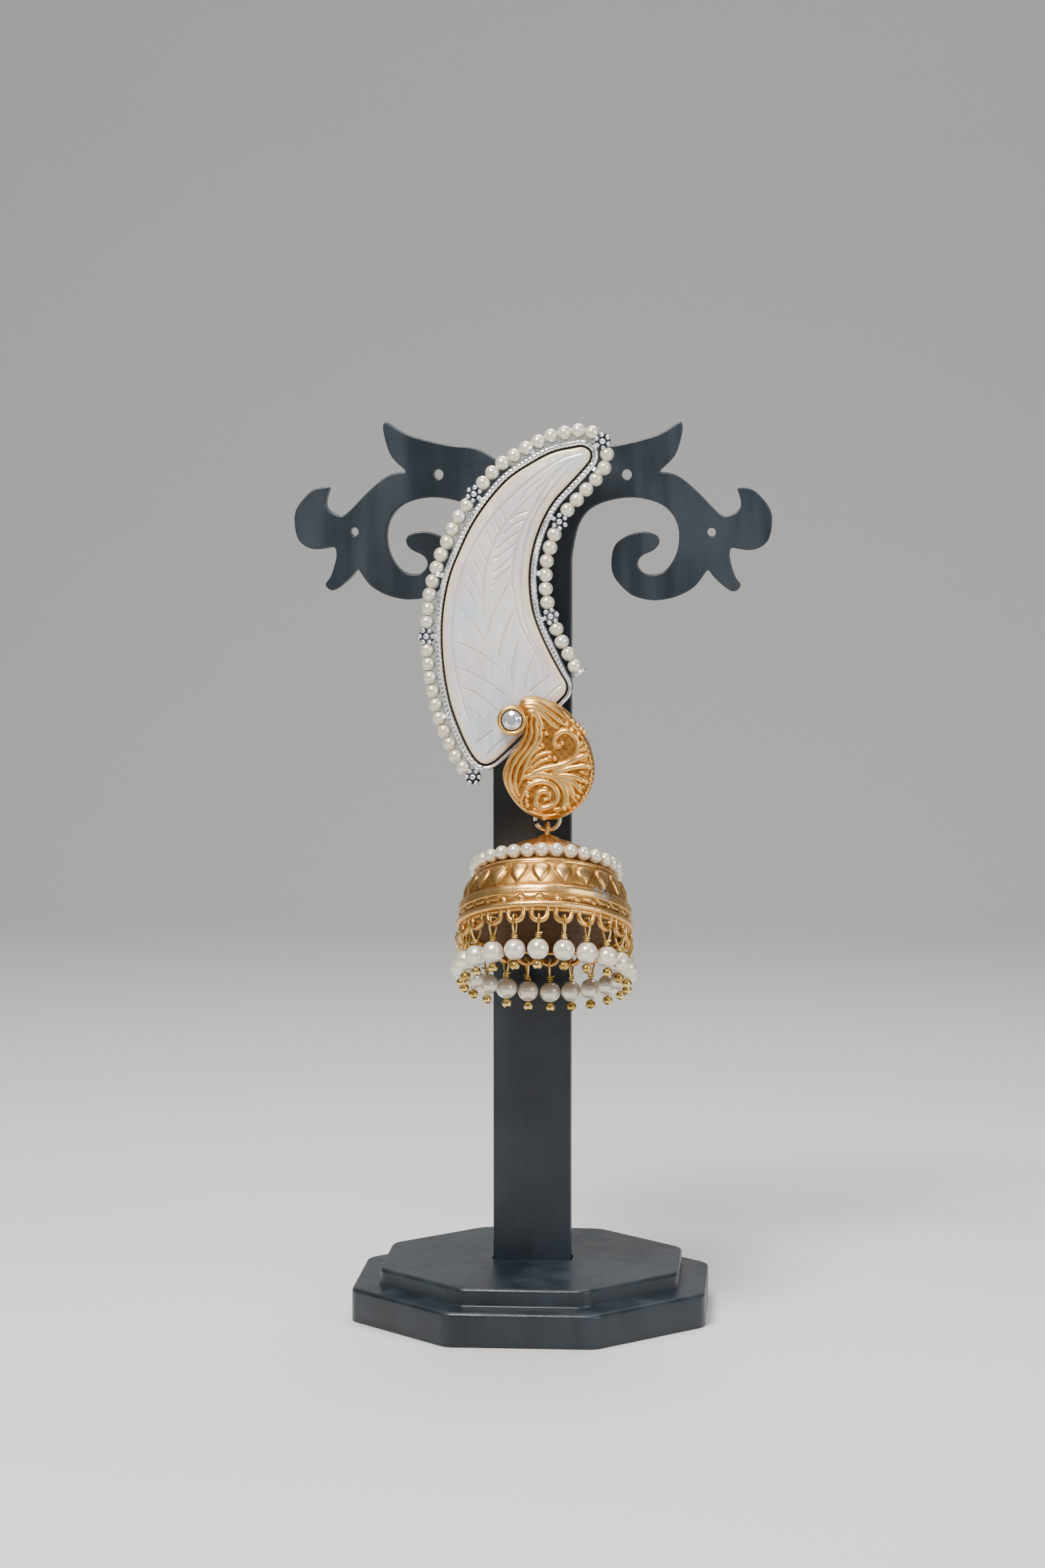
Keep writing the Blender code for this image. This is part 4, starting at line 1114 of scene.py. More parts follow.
@dataclass
class Crescent:
    """The shell crescent in its silver tray, with its string of pearls and granulated flowers.

    The bezel's section is its share across, its share of the height and how deep the hammering goes,
    which also sets how dark its foot is: oxide and painted shadow.
    """

    width: float = 0.0264
    height: float = 0.0566
    left: float = -0.0153
    foot: float = 0.1017
    plate_back: float = -0.0095
    plate_thickness: float = 0.0008
    gap: float = 0.0003
    shell_thickness: float = 0.0021
    bevel_width: float = 0.0017
    bevel_depth: float = 0.00045
    bezel_width: float = 0.0011
    bezel_height: float = 0.0028
    pearl: float = 0.0026
    slots: int = 52
    flower_slots: tuple[int, ...] = (0, 11, 22, 33, 40, 47)
    start_row: int = 14
    end_row: int = 20
    steps: int = 12
    shell_spacing: float = 0.000125
    cut_width: float = 0.00024
    cut_depth: float = 0.00017
    cut_end: float = 0.12
    tray_spacing: float = 0.00011
    twist_pitch: float = 0.00080
    twist_depth: float = 0.00009
    plain_up: Pair = (0.26, 0.36)
    plain_across: Pair = (0.26, 0.34)
    plain_thinning: float = 0.3
    petals: int = 6
    cup: float = 0.0014
    cup_height: float = 0.0012
    cup_sides: int = 28
    tie: float = 0.00017
    end_wire: float = 0.00027
    thread: float = 0.00022
    bead: float = 0.00272
    wraps: tuple[float, ...] = (5.0, 15.6, 27.3, 35.5, 43.9)
    wrap_step: float = 0.00027
    thread_end: float = 0.4
    curl_end: float = 0.58
    curl_turns: float = 1.3
    granule: float = 0.00088
    bezel_section: tuple[Triple, ...] = (
        (0.0, 0.0, 0.0), (0.0, 0.55, 0.1), (0.02, 0.80, 0.4), (0.12, 0.92, 0.8), (0.28, 0.99, 1.0),
        (0.5, 1.0, 1.0), (0.72, 0.99, 1.0), (0.88, 0.92, 0.8), (0.98, 0.80, 0.4), (1.0, 0.55, 0.0))
    cup_section: Route = ((0.2, 0.0), (0.9, 0.0), (1.0, 0.3), (0.9, 0.55), (0.3, 0.6))
    edge: Route = (
        (.885, .995), (.751, .981), (.611, .948), (.45, .898), (.314, .828), (.21, .757),
        (.129, .68), (.056, .595), (.011, .495), (0, .389), (.019, .282), (.06, .188), (.128, .1),
        (.195, .037), (.256, .005), (.323, .005), (.403, .034), (.544, .097), (.783, .203),
        (.831, .232), (.831, .256), (.797, .284), (.724, .346), (.657, .412), (.607, .477),
        (.583, .547), (.583, .623), (.615, .702), (.679, .78), (.751, .835), (.841, .881),
        (.929, .925), (.989, .96), (.992, .984), (.947, .998))
    borders: tuple[Route, ...] = (
        ((.948, .982), (.817, .964), (.656, .919), (.45, .836), (.312, .764), (.208, .689),
         (.139, .614), (.098, .54), (.083, .518), (.071, .448), (.063, .384), (.078, .319),
         (.109, .25), (.149, .18), (.195, .115), (.224, .072)),
        ((.874, .964), (.783, .924), (.691, .865), (.599, .791), (.525, .716), (.487, .641),
         (.475, .567), (.484, .545), (.507, .47), (.559, .411), (.622, .358), (.686, .288)),
        ((.863, .935), (.748, .871), (.657, .807), (.593, .743), (.559, .679), (.544, .615),
         (.537, .593), (.536, .518), (.559, .449), (.622, .379), (.692, .32), (.726, .283)))
    feathers: tuple[Route, ...] = (
        ((.908, .967), (.805, .935), (.702, .892), (.519, .807), (.404, .743), (.335, .679),
         (.294, .615), (.279, .524), (.283, .497), (.286, .457)), ((.392, .809), (.433, .761)),
        ((.346, .783), (.395, .724)), ((.295, .743), (.346, .679)), ((.245, .695), (.312, .623)),
        ((.206, .649), (.283, .569)), ((.168, .609), (.265, .526)),
        ((.139, .574), (.19, .537), (.233, .499)), ((.691, .905), (.588, .871), (.519, .823)),
        ((.593, .802), (.507, .786), (.456, .768)), ((.57, .775), (.473, .751), (.398, .721)),
        ((.542, .74), (.438, .708), (.352, .673)), ((.513, .703), (.415, .668), (.34, .644)),
        ((.496, .665), (.404, .628), (.335, .599)), ((.475, .631), (.392, .588), (.323, .556)),
        ((.45, .62), (.392, .599), (.344, .576)),
        ((.459, .583), (.404, .529), (.34, .47), (.302, .4)),
        ((.106, .501), (.196, .454), (.254, .416), (.294, .387)),
        ((.083, .388), (.173, .372), (.288, .341), (.403, .297)),
        ((.097, .308), (.219, .282), (.346, .247), (.455, .205)),
        ((.128, .244), (.23, .223), (.322, .191), (.392, .159)),
        ((.161, .185), (.241, .157), (.322, .12)),
        ((.487, .492), (.432, .427), (.39, .368), (.38, .317)),
        ((.536, .411), (.498, .358), (.473, .293), (.478, .226)),
        ((.609, .336), (.574, .283), (.553, .222)), ((.738, .283), (.646, .251), (.576, .223)),
        ((.813, .256), (.726, .224), (.692, .202)), ((.218, .061), (.288, .088), (.348, .11)),
        ((.293, .025), (.357, .056), (.429, .089)))

    @property
    def shell_back(self) -> float:
        """The Y of the shell's back."""
        return self.plate_back - self.plate_thickness - self.gap

    @property
    def shell_front(self) -> float:
        """The Y of the shell's face."""
        return self.shell_back - self.shell_thickness

    @property
    def bezel_front(self) -> float:
        """The Y of the bezel's top."""
        return self.plate_back - self.bezel_height

    @property
    def string_level(self) -> float:
        """The Y of the string's thread."""
        return (self.plate_back + self.bezel_front) / 2

    @property
    def string_offset(self) -> float:
        """The distance from the shell's edge to the string."""
        return self.gap + self.bezel_width + self.gap + self.pearl / 2

    def placed(self, route: Route) -> Places:
        """Return a route of shares as X and Z."""
        shares = np.array(route)
        return shares * (self.width, self.height) + (self.left, self.foot)

    def outline(self, steps: int) -> Places:
        """Return the shell's edge as X and Z."""
        return curve_through(self.placed(self.edge), steps, True)

    def route(self) -> Places:
        """Return the string's route from the lower corner round the tip, as X and Z."""
        edge = moved_outline(self.outline(self.steps), self.string_offset)
        first = self.start_row * self.steps
        last = self.end_row * self.steps - len(edge)
        return np.array([edge[i % len(edge)] for i in range(first, last - 1, -1)])

    def slot(self, number: float) -> tuple[Vector, Vector, Vector]:
        """Return the centre of a slot on the string and the string's directions there.

        Args:
            number: The slot, with a share for a place between two.

        Returns:
            The place, the direction along the string and the one in towards the shell.
        """
        line = self.route()
        target = run_lengths(line)[-1] * number / self.slots
        reach = self.pearl * 0.1
        here, ahead, behind = read_along(line, np.array([target, target + reach, target - reach]))
        along = Vector((ahead[0] - behind[0], 0.0, ahead[1] - behind[1])).normalized()
        inward = Vector((0, 1, 0)).cross(along).normalized()
        return Vector((here[0], self.string_level, here[1])), along, inward

    def build(self) -> None:
        """Make the tray, the shell, the flowers and the string."""
        self.build_tray()
        self.build_shell()
        self.build_flowers()
        self.build_string()

    def build_tray(self) -> None:
        """Make the silver tray, its bezel hammered and twisted except along its lower sides."""
        edge = evenly(self.outline(self.steps), self.tray_spacing)
        steps = np.linalg.norm(np.roll(edge, -1, axis=0) - edge, axis=1)
        along = np.cumsum(steps) - steps[0]
        across = (edge[:, 0] - self.left) / self.width
        up = (edge[:, 1] - self.foot) / self.height
        plain = (1 - ease(up, *self.plain_up)) * ease(across, *self.plain_across)
        texture = 1 - plain
        uneven = 0.5 * np.sin(along / 0.0031) + 0.4 * np.sin(along / 0.0017 + 1.3)
        inner = self.gap * 1.2
        wide = self.bezel_width - plain * self.bezel_width * self.plain_thinning
        rings, reliefs = [], []
        for share, rise, depth in self.bezel_section:
            phase = math.tau * (along / self.twist_pitch + share * 0.55) + uneven
            twist = np.cos(phase) * (0.75 + 0.25 * np.sin(along / 0.0013))
            shown = texture * depth
            side = 1 if share < 0.5 else -1
            offset = inner + wide * (1 - share) + self.twist_depth * 0.7 * twist * shown * side
            level = self.plate_back - self.bezel_height * rise
            level = level + self.twist_depth * shown * (0.25 - 0.75 * twist)
            rings.append(self.moved_ring(edge, offset, np.maximum(level, self.bezel_front - 0.0001)))
            # Shallow hammering lowers the relief, and the floor gets none: the bezel's foot and the
            # gap by the shell turn dark, oxide and painted shadow
            reliefs.append(np.clip(0.72 + 0.28 * twist * shown - 0.7 * (1 - depth), 0, 1))
        floor = np.full(len(edge), self.shell_back + self.gap)
        rings.append(self.moved_ring(edge, np.full(len(edge), inner), floor))
        reliefs.append(np.zeros(len(edge)))
        form = Form()
        form.skin(np.array(rings), relief=np.array(reliefs))
        form.piece("silver_tray", SILVER, Body.STAND, Slot.SILVER, ("crescent_setting",))

    @staticmethod
    def moved_ring(points: Places, distances: Array, levels: Array) -> Array:
        """Return a closed outline as a ring, each point moved outwards and set on its own Y."""
        unit = moved_outline(points, 1e-6) - points
        unit /= np.linalg.norm(unit, axis=1, keepdims=True)
        moved = points + unit * distances[:, None]
        return np.stack([moved[:, 0], levels, moved[:, 1]], axis=1)

    def build_shell(self) -> None:
        """Make the shell with its warm bevelled rim and its engraved feather lines."""
        outline = moved_outline(self.outline(self.steps), 0.00004)
        closed = np.vstack([outline, outline[:1]])

        def front(places: Places) -> tuple[Array, dict]:
            """Return the shell's face and its stored values."""
            inset = near_route(places, closed)[0]
            slope = self.bevel_depth * (1 - np.clip(inset / self.bevel_width, 0, 1))
            rounded = 0.00025 * (1 - np.clip(inset / 0.0003, 0, 1)) ** 2
            level = self.shell_front + slope + rounded
            cut = np.zeros(len(places))
            for route in self.borders + self.feathers:
                wider, deeper = (1.25, 1.2) if route in self.borders else (1.0, 1.0)
                away, along = near_route(places, curve_through(self.placed(route), 8, False))
                run_out = np.clip(np.minimum(along, 1 - along) / self.cut_end, 0, 1)
                taper = 0.35 + 0.65 * run_out
                half = self.cut_width * wider * taper
                groove = np.sqrt(np.clip(1 - (away / half) ** 2, 0, 1))
                depth = self.cut_depth * deeper * groove * taper
                level = np.maximum(level, self.shell_front + slope + depth)
                # Mask of the grooves, where painted shade darkens them
                cut = np.maximum(cut, groove)
            swell = 0.00005 * np.sin(places[:, 0] / 0.0016) * np.sin(places[:, 1] / 0.0031)
            rim = 1 - ease(inset, self.bevel_width * 0.12, self.bevel_width * 0.75)
            return level + swell * (1 - rim), {"cut": cut * (1 - rim), "rim": 0.15 + 0.85 * rim}

        form = Form()
        form.plaque(outline, self.shell_spacing, front, self.shell_back)
        form.piece("shell_plaque", Nacre(), Body.STAND, Slot.SHELL, ("crescent_shell",))

    def build_flowers(self) -> None:
        """Make the flowers of silver granules that interrupt the string, each on a dark cup, painted
        shade between its granules.
        """
        balls, shade_cups = Form(), Form()
        back = self.string_level - self.pearl / 2 + 0.0009
        for order, number in enumerate(self.flower_slots):
            centre, along, inward = self.slot(number)
            petals = Vector((centre.x, back - self.granule * 0.55, centre.z))
            ring = circle(petals, self.granule * 1.3, inward, along, self.petals)
            for k, place in enumerate(ring):
                size = self.granule / 2 * (1 + 0.05 * math.sin(3.1 * k + order))
                balls.ball(place, size, 18, relief=0.75)
            heart = Vector((centre.x, back - self.granule * 0.8, centre.z))
            balls.ball(heart, self.granule * 0.62, 20, relief=0.95)
            solder = centre + inward * (self.string_offset - self.gap - self.bezel_width)
            solder.y = self.bezel_front + 0.0002
            balls.ball(solder, self.granule * 0.52, 16, relief=0.8)
            section = [(self.cup * share, back + self.cup_height * (0.5 - rise))
                       for share, rise in self.cup_section]
            shade_cups.skin(turned_rings(section, self.cup_sides, (centre.x, centre.z)))
        balls.piece("silver_flowers", SILVER, Body.STAND, Slot.SILVER, ("crescent_setting",))
        shade_cups.piece("flower_shade_cups", SHADE_DARK_SILVER, Body.STAND, Slot.SILVER, ("crescent_setting",))

    def build_string(self) -> None:
        """Make the pearls, the thread that they sit on and the wire that ties it down."""
        pearls, thread, ties = Form(), Form(), Form()
        draw = np.random.default_rng(7)
        for number in range(self.slots):
            if number in self.flower_slots:
                continue
            centre, along, inward = self.slot(number)
            size = self.bead / 2 * (0.985 + draw.uniform(-0.025, 0.015))
            place = centre + inward * draw.uniform(-0.00006, 0.00006)
            turn = along.to_track_quat("Z", "Y").to_matrix()
            pearls.ball(place, size, 32, 0.985 + draw.uniform(-0.02, 0.02), turn)
        line = [self.slot(number)[0] for number in np.arange(0, self.slots - self.thread_end, 0.25)]
        thread.wire(line, self.thread, 8)
        for number in self.wraps:
            centre, along, inward = self.slot(number)
            for step in (-self.wrap_step, 0.0, self.wrap_step):
                loop = []
                for c, s in around(28):
                    reach = self.string_offset * 0.5 * (1 + c) - self.pearl * 0.1
                    depth = -self.pearl * 0.42 * s
                    loop.append(centre + inward * reach * 0.72 + Vector((0, depth, 0)) + along * step)
                ties.wire(loop, self.tie, 7, looped=True, relief=0.85)
        corner, along, inward = self.slot(self.slots - self.curl_end)
        curl = []
        for share in np.linspace(0, 1, 40):
            turn = math.tau * self.curl_turns * share
            curl.append(corner + along * (0.0002 + 0.0003 * share) + inward * 0.00115 * math.cos(turn)
                        + Vector((0, 0.00085 * math.sin(turn), 0)))
        ties.wire(curl, self.end_wire, 9, relief=0.85)
        for form, name, finish, slot in ((pearls, "string_pearls", CREAM_PEARL, Slot.PEARL),
                                         (thread, "string_thread", SHADE_DARK_SILVER, Slot.SILVER),
                                         (ties, "string_ties", SILVER, Slot.SILVER)):
            form.piece(name, finish, Body.STAND, slot, ("pearl_string",), Shading.ROUND)


# Ear post


@dataclass
class EarPost:
    """The pin through the arm with its turned clutch, hidden behind the crescent."""

    height: float = 0.1515
    pin: float = 0.0009
    front: float = -0.0092
    arm_back: float = 0.0023
    clutch: float = 0.0052
    clutch_length: float = 0.0022
    tail: float = 0.0008
    sides: int = 32

    def build(self) -> None:
        """Make the pin and its clutch."""
        start, end = self.arm_back, self.arm_back + self.clutch_length
        radius, half = self.pin / 2, self.clutch / 2
        stations = [(radius * 1.8, self.front), (radius * 1.8, self.front + 0.0002),
                    (radius, self.front + 0.0004), (radius, start - 0.0001), (half * 0.8, start),
                    (half * 0.95, start + 0.00015), (half, start + 0.0004),
                    (half * 0.98, start + 0.0007), (half * 0.88, start + 0.0010),
                    (half * 0.6, start + 0.0014), (half * 0.5, start + 0.0018),
                    (half * 0.5, end - 0.0001), (half * 0.42, end), (radius, end),
                    (radius, end + self.tail - 0.0002), (radius * 0.55, end + self.tail)]
        form = Form()
        form.skin(turned_rings(stations, self.sides, (0.0, self.height)))
        form.piece("ear_pin", PIN_STEEL, Body.STAND, Slot.PIN, ("ear_post",), Shading.EDGED)


# Paisley


@dataclass
class Paisley:
    """The cast gold paisley with its sunken grooves, grains, stone and rear bail."""

    width: float = 0.0164
    height: float = 0.0221
    left: float = -0.0044
    foot: float = 0.0920
    back: float = -0.0130
    edge_height: float = 0.0012
    dome: float = 0.00165
    dome_run: float = 0.0021
    rib: float = 0.00062
    rib_rise: float = 0.00055
    stem_ribs: int = 4
    stem_share: float = 0.78
    fine_share: float = 0.7
    fine_rise: float = 0.78
    milling: int = 68
    spacing: float = 0.000105
    grain: float = 0.00095
    stone: float = 0.0036
    stone_depth: float = 0.0016
    stone_place: Pair = (0.106, 0.806)
    collar_wall: float = 0.0007
    collar_height: float = 0.0030
    collar_sides: int = 56
    collar_bead: tuple[Triple, ...] = (
        (1.0, 0.0013, 0.25), (1.02, 0.0009, 0.4), (1.03, 0.0006, 0.75), (1.01, 0.00033, 0.9),
        (0.96, 0.00012, 1.0), (0.89, 0.0, 1.0), (0.82, 0.00004, 1.0))
    stone_rows: tuple[tuple[float, float, int, float], ...] = (
        (0.50, -0.0003, 8, 0.0), (0.76, -0.00005, 8, 0.5), (0.99, 0.00025, 16, 0.0),
        (0.99, 0.0004, 16, 0.0), (0.5, 0.0010, 8, 0.0))
    bail_radius: float = 0.00125
    wire: float = 0.0008
    edge: Route = (
        (.2, .97), (.33, 1), (.48, .97), (.62, .925), (.74, .85), (.85, .73), (.95, .6), (1, .44),
        (.985, .3), (.91, .17), (.78, .07), (.62, .01), (.45, 0), (.29, .04), (.15, .125),
        (.04, .25), (0, .37), (.05, .48), (.15, .59), (.225, .69), (.24, .78), (.17, .86))
    ribs: tuple[Route, ...] = (
        ((.268, .827), (.259, .758), (.25, .69), (.185, .593), (.083, .497), (.037, .4),
         (.028, .318), (.065, .222), (.148, .139), (.259, .071), (.463, .031), (.611, .045)),
        ((.324, .841), (.315, .772), (.315, .69), (.259, .594), (.167, .504), (.102, .414),
         (.083, .332), (.111, .236), (.185, .153)),
        ((.379, .841), (.37, .786), (.379, .704), (.352, .621), (.259, .525), (.185, .442),
         (.148, .359), (.148, .263), (.185, .195)),
        ((.425, .8), (.416, .731), (.426, .663), (.37, .594), (.296, .511), (.25, .429),
         (.222, .36), (.185, .277)),
        ((.656, .623), (.61, .588), (.564, .636), (.61, .698), (.703, .719), (.795, .678),
         (.823, .61), (.795, .527), (.712, .465), (.592, .437), (.463, .416), (.352, .388),
         (.268, .346)),
        ((.463, .162), (.518, .182), (.5, .224), (.435, .23), (.38, .196), (.37, .14),
         (.426, .099), (.518, .107), (.592, .155), (.602, .224), (.546, .286), (.444, .313),
         (.333, .292), (.25, .236), (.213, .167), (.222, .112)),
        ((.222, .332), (.296, .36), (.426, .374), (.555, .348), (.657, .279), (.694, .197),
         (.666, .114), (.592, .059)), ((.555, .389), (.74, .472), (.961, .542)),
        ((.555, .375), (.758, .424), (.971, .446)), ((.611, .362), (.777, .355), (.916, .308)),
        ((.629, .348), (.777, .307), (.87, .225)), ((.648, .321), (.74, .266), (.786, .17)),
        ((.657, .293), (.703, .211), (.694, .101)),
        ((.185, .966), (.333, .974), (.462, .954), (.592, .899), (.665, .845)),
        ((.222, .939), (.37, .94), (.499, .885), (.61, .817), (.675, .776)),
        ((.259, .919), (.37, .898), (.462, .844), (.555, .776), (.601, .746)),
        ((.296, .882), (.37, .855), (.444, .745)))
    fine_ribs: tuple[Route, ...] = (
        ((.248, .425), (.31, .515), (.38, .57), (.455, .59)),
        ((.259, .401), (.333, .477), (.425, .53), (.527, .547)),
        ((.28, .392), (.38, .448), (.462, .483), (.545, .492)), ((.28, .3), (.36, .29)),
        ((.29, .33), (.4, .345), (.5, .33)), ((.44, .255), (.49, .262)), ((.43, .06), (.35, .09)),
        ((.56, .085), (.64, .09)), ((.72, .79), (.69, .74)), ((.78, .75), (.74, .705)),
        ((.84, .7), (.8, .66)), ((.89, .64), (.83, .6)), ((.93, .585), (.85, .56)),
        ((.93, .5), (.86, .48)), ((.94, .38), (.86, .385)), ((.9, .265), (.84, .285)),
        ((.82, .14), (.77, .19)), ((.745, .08), (.72, .15)))
    grains: Route = (
        (.485, .701), (.44, .605), (.577, .499), (.518, .512), (.767, .799), (.817, .767),
        (.859, .733), (.896, .706), (.947, .429), (.916, .311), (.829, .191), (.681, .094),
        (.459, .017), (.278, .195), (.268, .222), (.268, .154), (.281, .119), (.656, .623))

    def placed(self, route: Route) -> Places:
        """Return a route of shares as X and Z."""
        return np.array(route) * (self.width, self.height) + (self.left, self.foot)

    def face(self, inset: Array) -> Array:
        """Return the Y of the crowned face at distances from the edge."""
        share = np.clip(inset / self.dome_run, 0, 1)
        return self.back - self.edge_height - self.dome * np.sqrt(1 - (1 - share) ** 2)

    def build(self) -> None:
        """Make the casting, the collar, the stone and the bail."""
        self.build_casting()
        self.build_collar()
        self.build_stone()

    def build_casting(self) -> None:
        """Make the ribbed casting with its grains and its bail."""
        outline = curve_through(self.placed(self.edge), 10, True)
        closed = np.vstack([outline, outline[:1]])
        groups = ((self.ribs[:self.stem_ribs], self.rib * self.stem_share, 1.0),
                  (self.ribs[self.stem_ribs:], self.rib, 1.0),
                  (self.fine_ribs, self.rib * self.fine_share, self.fine_rise))
        lines = [(curve_through(self.placed(route), 8, False), half, rise)
                 for routes, half, rise in groups for route in routes]

        def front(places: Places) -> tuple[Array, dict]:
            """Return the casting's face and its relief."""
            inset, along = near_route(places, closed)
            level = self.face(inset)
            relief = 0.16 + 0.08 * np.sin(places[:, 0] / 0.00021) * np.sin(places[:, 1] / 0.00027)
            for line, half, rise in lines:
                away, share = near_route(places, line)
                taper = 0.6 + 0.4 * np.clip(np.minimum(share, 1 - share) / 0.16, 0, 1)
                ridge = np.clip(1 - (away / (half * taper)) ** 2, 0, 1) ** 0.6
                relief = np.maximum(relief, ridge * rise * (0.5 + 0.5 * taper))
            border = np.sqrt(np.clip(1 - ((inset - 0.00028) / 0.0004) ** 2, 0, 1))
            milled = 0.5 + 0.5 * np.cos(math.tau * along * self.milling)
            right = ease(places[:, 0], self.left + self.width * 0.55, self.left + self.width * 0.8)
            relief = np.maximum(relief, border * (0.62 + 0.38 * milled * right))
            return level + 0.00018 - self.rib_rise * relief, {"relief": relief}

        form = Form()
        form.plaque(outline, self.spacing, front, self.back)
        for across, up in self.placed(self.grains):
            place = np.array([[across, up]])
            level = float(self.face(near_route(place, closed)[0])[0])
            form.ball(Vector((across, level - 0.0001, up)), self.grain / 2, 16, relief=0.95)
        bail = circle(RING_HINGE, self.bail_radius, Vector((0, 1, 0)), Vector((0, 0, 1)), 28)
        form.wire(bail, self.wire / 2, 10, looped=True, relief=0.8)
        form.piece("cast_paisley", PAISLEY_GOLD, Body.STAND, Slot.MATTE_GOLD, ("paisley",))

    def build_collar(self) -> None:
        """Make the stone's thick rounded collar."""
        x, z = self.placed((self.stone_place,))[0]
        front = self.back - self.collar_height
        bore = self.stone / 2 + 0.00012
        outer = bore + self.collar_wall
        floor = front + self.stone_depth + 0.0002
        stations = [(outer, self.back + 0.0001, 0.1)]
        stations += [(outer * share, front + drop, value) for share, drop, value in self.collar_bead]
        stations += [(bore + 0.00002, front + 0.00022, 0.7), (bore, front + 0.0004, 0.4),
                     (bore, floor, 0.05), (0.0002, floor, 0.05)]
        rings = turned_rings([station[:2] for station in stations], self.collar_sides, (x, z))
        relief = np.repeat([[value] for _, _, value in stations], self.collar_sides, axis=1)
        form = Form()
        form.skin(rings, relief=relief)
        form.piece("stone_collar", PAISLEY_GOLD, Body.STAND, Slot.MATTE_GOLD, ("paisley",))

    def build_stone(self) -> None:
        """Make the stone with a table, kite facets and a pointed pavilion."""
        x, z = self.placed((self.stone_place,))[0]
        front = self.back - self.collar_height
        radius = self.stone / 2
        points, starts = [], []
        for share, drop, count, shift in self.stone_rows:
            starts.append(len(points))
            points += [(x + radius * share * c, front + drop, z + radius * share * s)
                       for c, s in around(count, shift)]
        table, kite, girdle, lower, pavilion = starts
        culet = len(points)
        points.append((x, front + self.stone_depth - 0.0001, z))
        faces: list[tuple[int, ...]] = [tuple(table + k for k in range(8))]
        for k in range(8):
            following = (k + 1) % 8
            faces.append((table + k, kite + k, table + following))
            faces.append((kite + (k - 1) % 8, girdle + 2 * k, kite + k, table + k))
            faces.append((kite + k, girdle + 2 * k, girdle + 2 * k + 1))
            faces.append((kite + k, girdle + 2 * k + 1, girdle + (2 * k + 2) % 16))
            faces.append((lower + 2 * k, lower + 2 * k + 1, pavilion + k))
            faces.append((lower + 2 * k + 1, lower + (2 * k + 2) % 16, pavilion + following,
                          pavilion + k))
            faces.append((pavilion + k, pavilion + following, culet))
        for k in range(16):
            following = (k + 1) % 16
            faces.append((girdle + k, girdle + following, lower + following, lower + k))
        form = Form()
        form.add(np.array(points), faces)
        form.piece("brilliant", CutStone(), Body.STAND, Slot.STONE, ("stone",), Shading.CUT)


# Jump ring


@dataclass
class JumpRing:
    """The open wire ring between the paisley's bail and the bell's loop."""

    radius: float = 0.0022
    wire: float = 0.0008
    cut_at: float = 201.0
    opening: float = 15.0
    spread: float = 0.00022
    bent_from: float = 0.8
    steps: int = 72

    def build(self) -> None:
        """Make the ring, whose cut ends stand a little apart and to the side of each other."""
        centre = (RING_HINGE + BELL_PIVOT) / 2
        start = math.radians(self.cut_at + self.opening / 2)
        run = math.radians(360.0 - self.opening)
        path = []
        for share in np.linspace(0.0, 1.0, self.steps + 1):
            angle = start + run * share
            bend = ease(share, self.bent_from, 1.0) - ease(1 - share, self.bent_from, 1.0)
            place = self.radius * Vector((math.cos(angle), 0, math.sin(angle)))
            path.append(centre + place + Vector((0, self.spread * float(bend), 0)))
        form = Form()
        form.wire(path, self.wire / 2, 16)
        form.piece("open_ring", RING_GOLD, Body.RING, Slot.BRIGHT_GOLD, ("jump_ring",))


# Bell


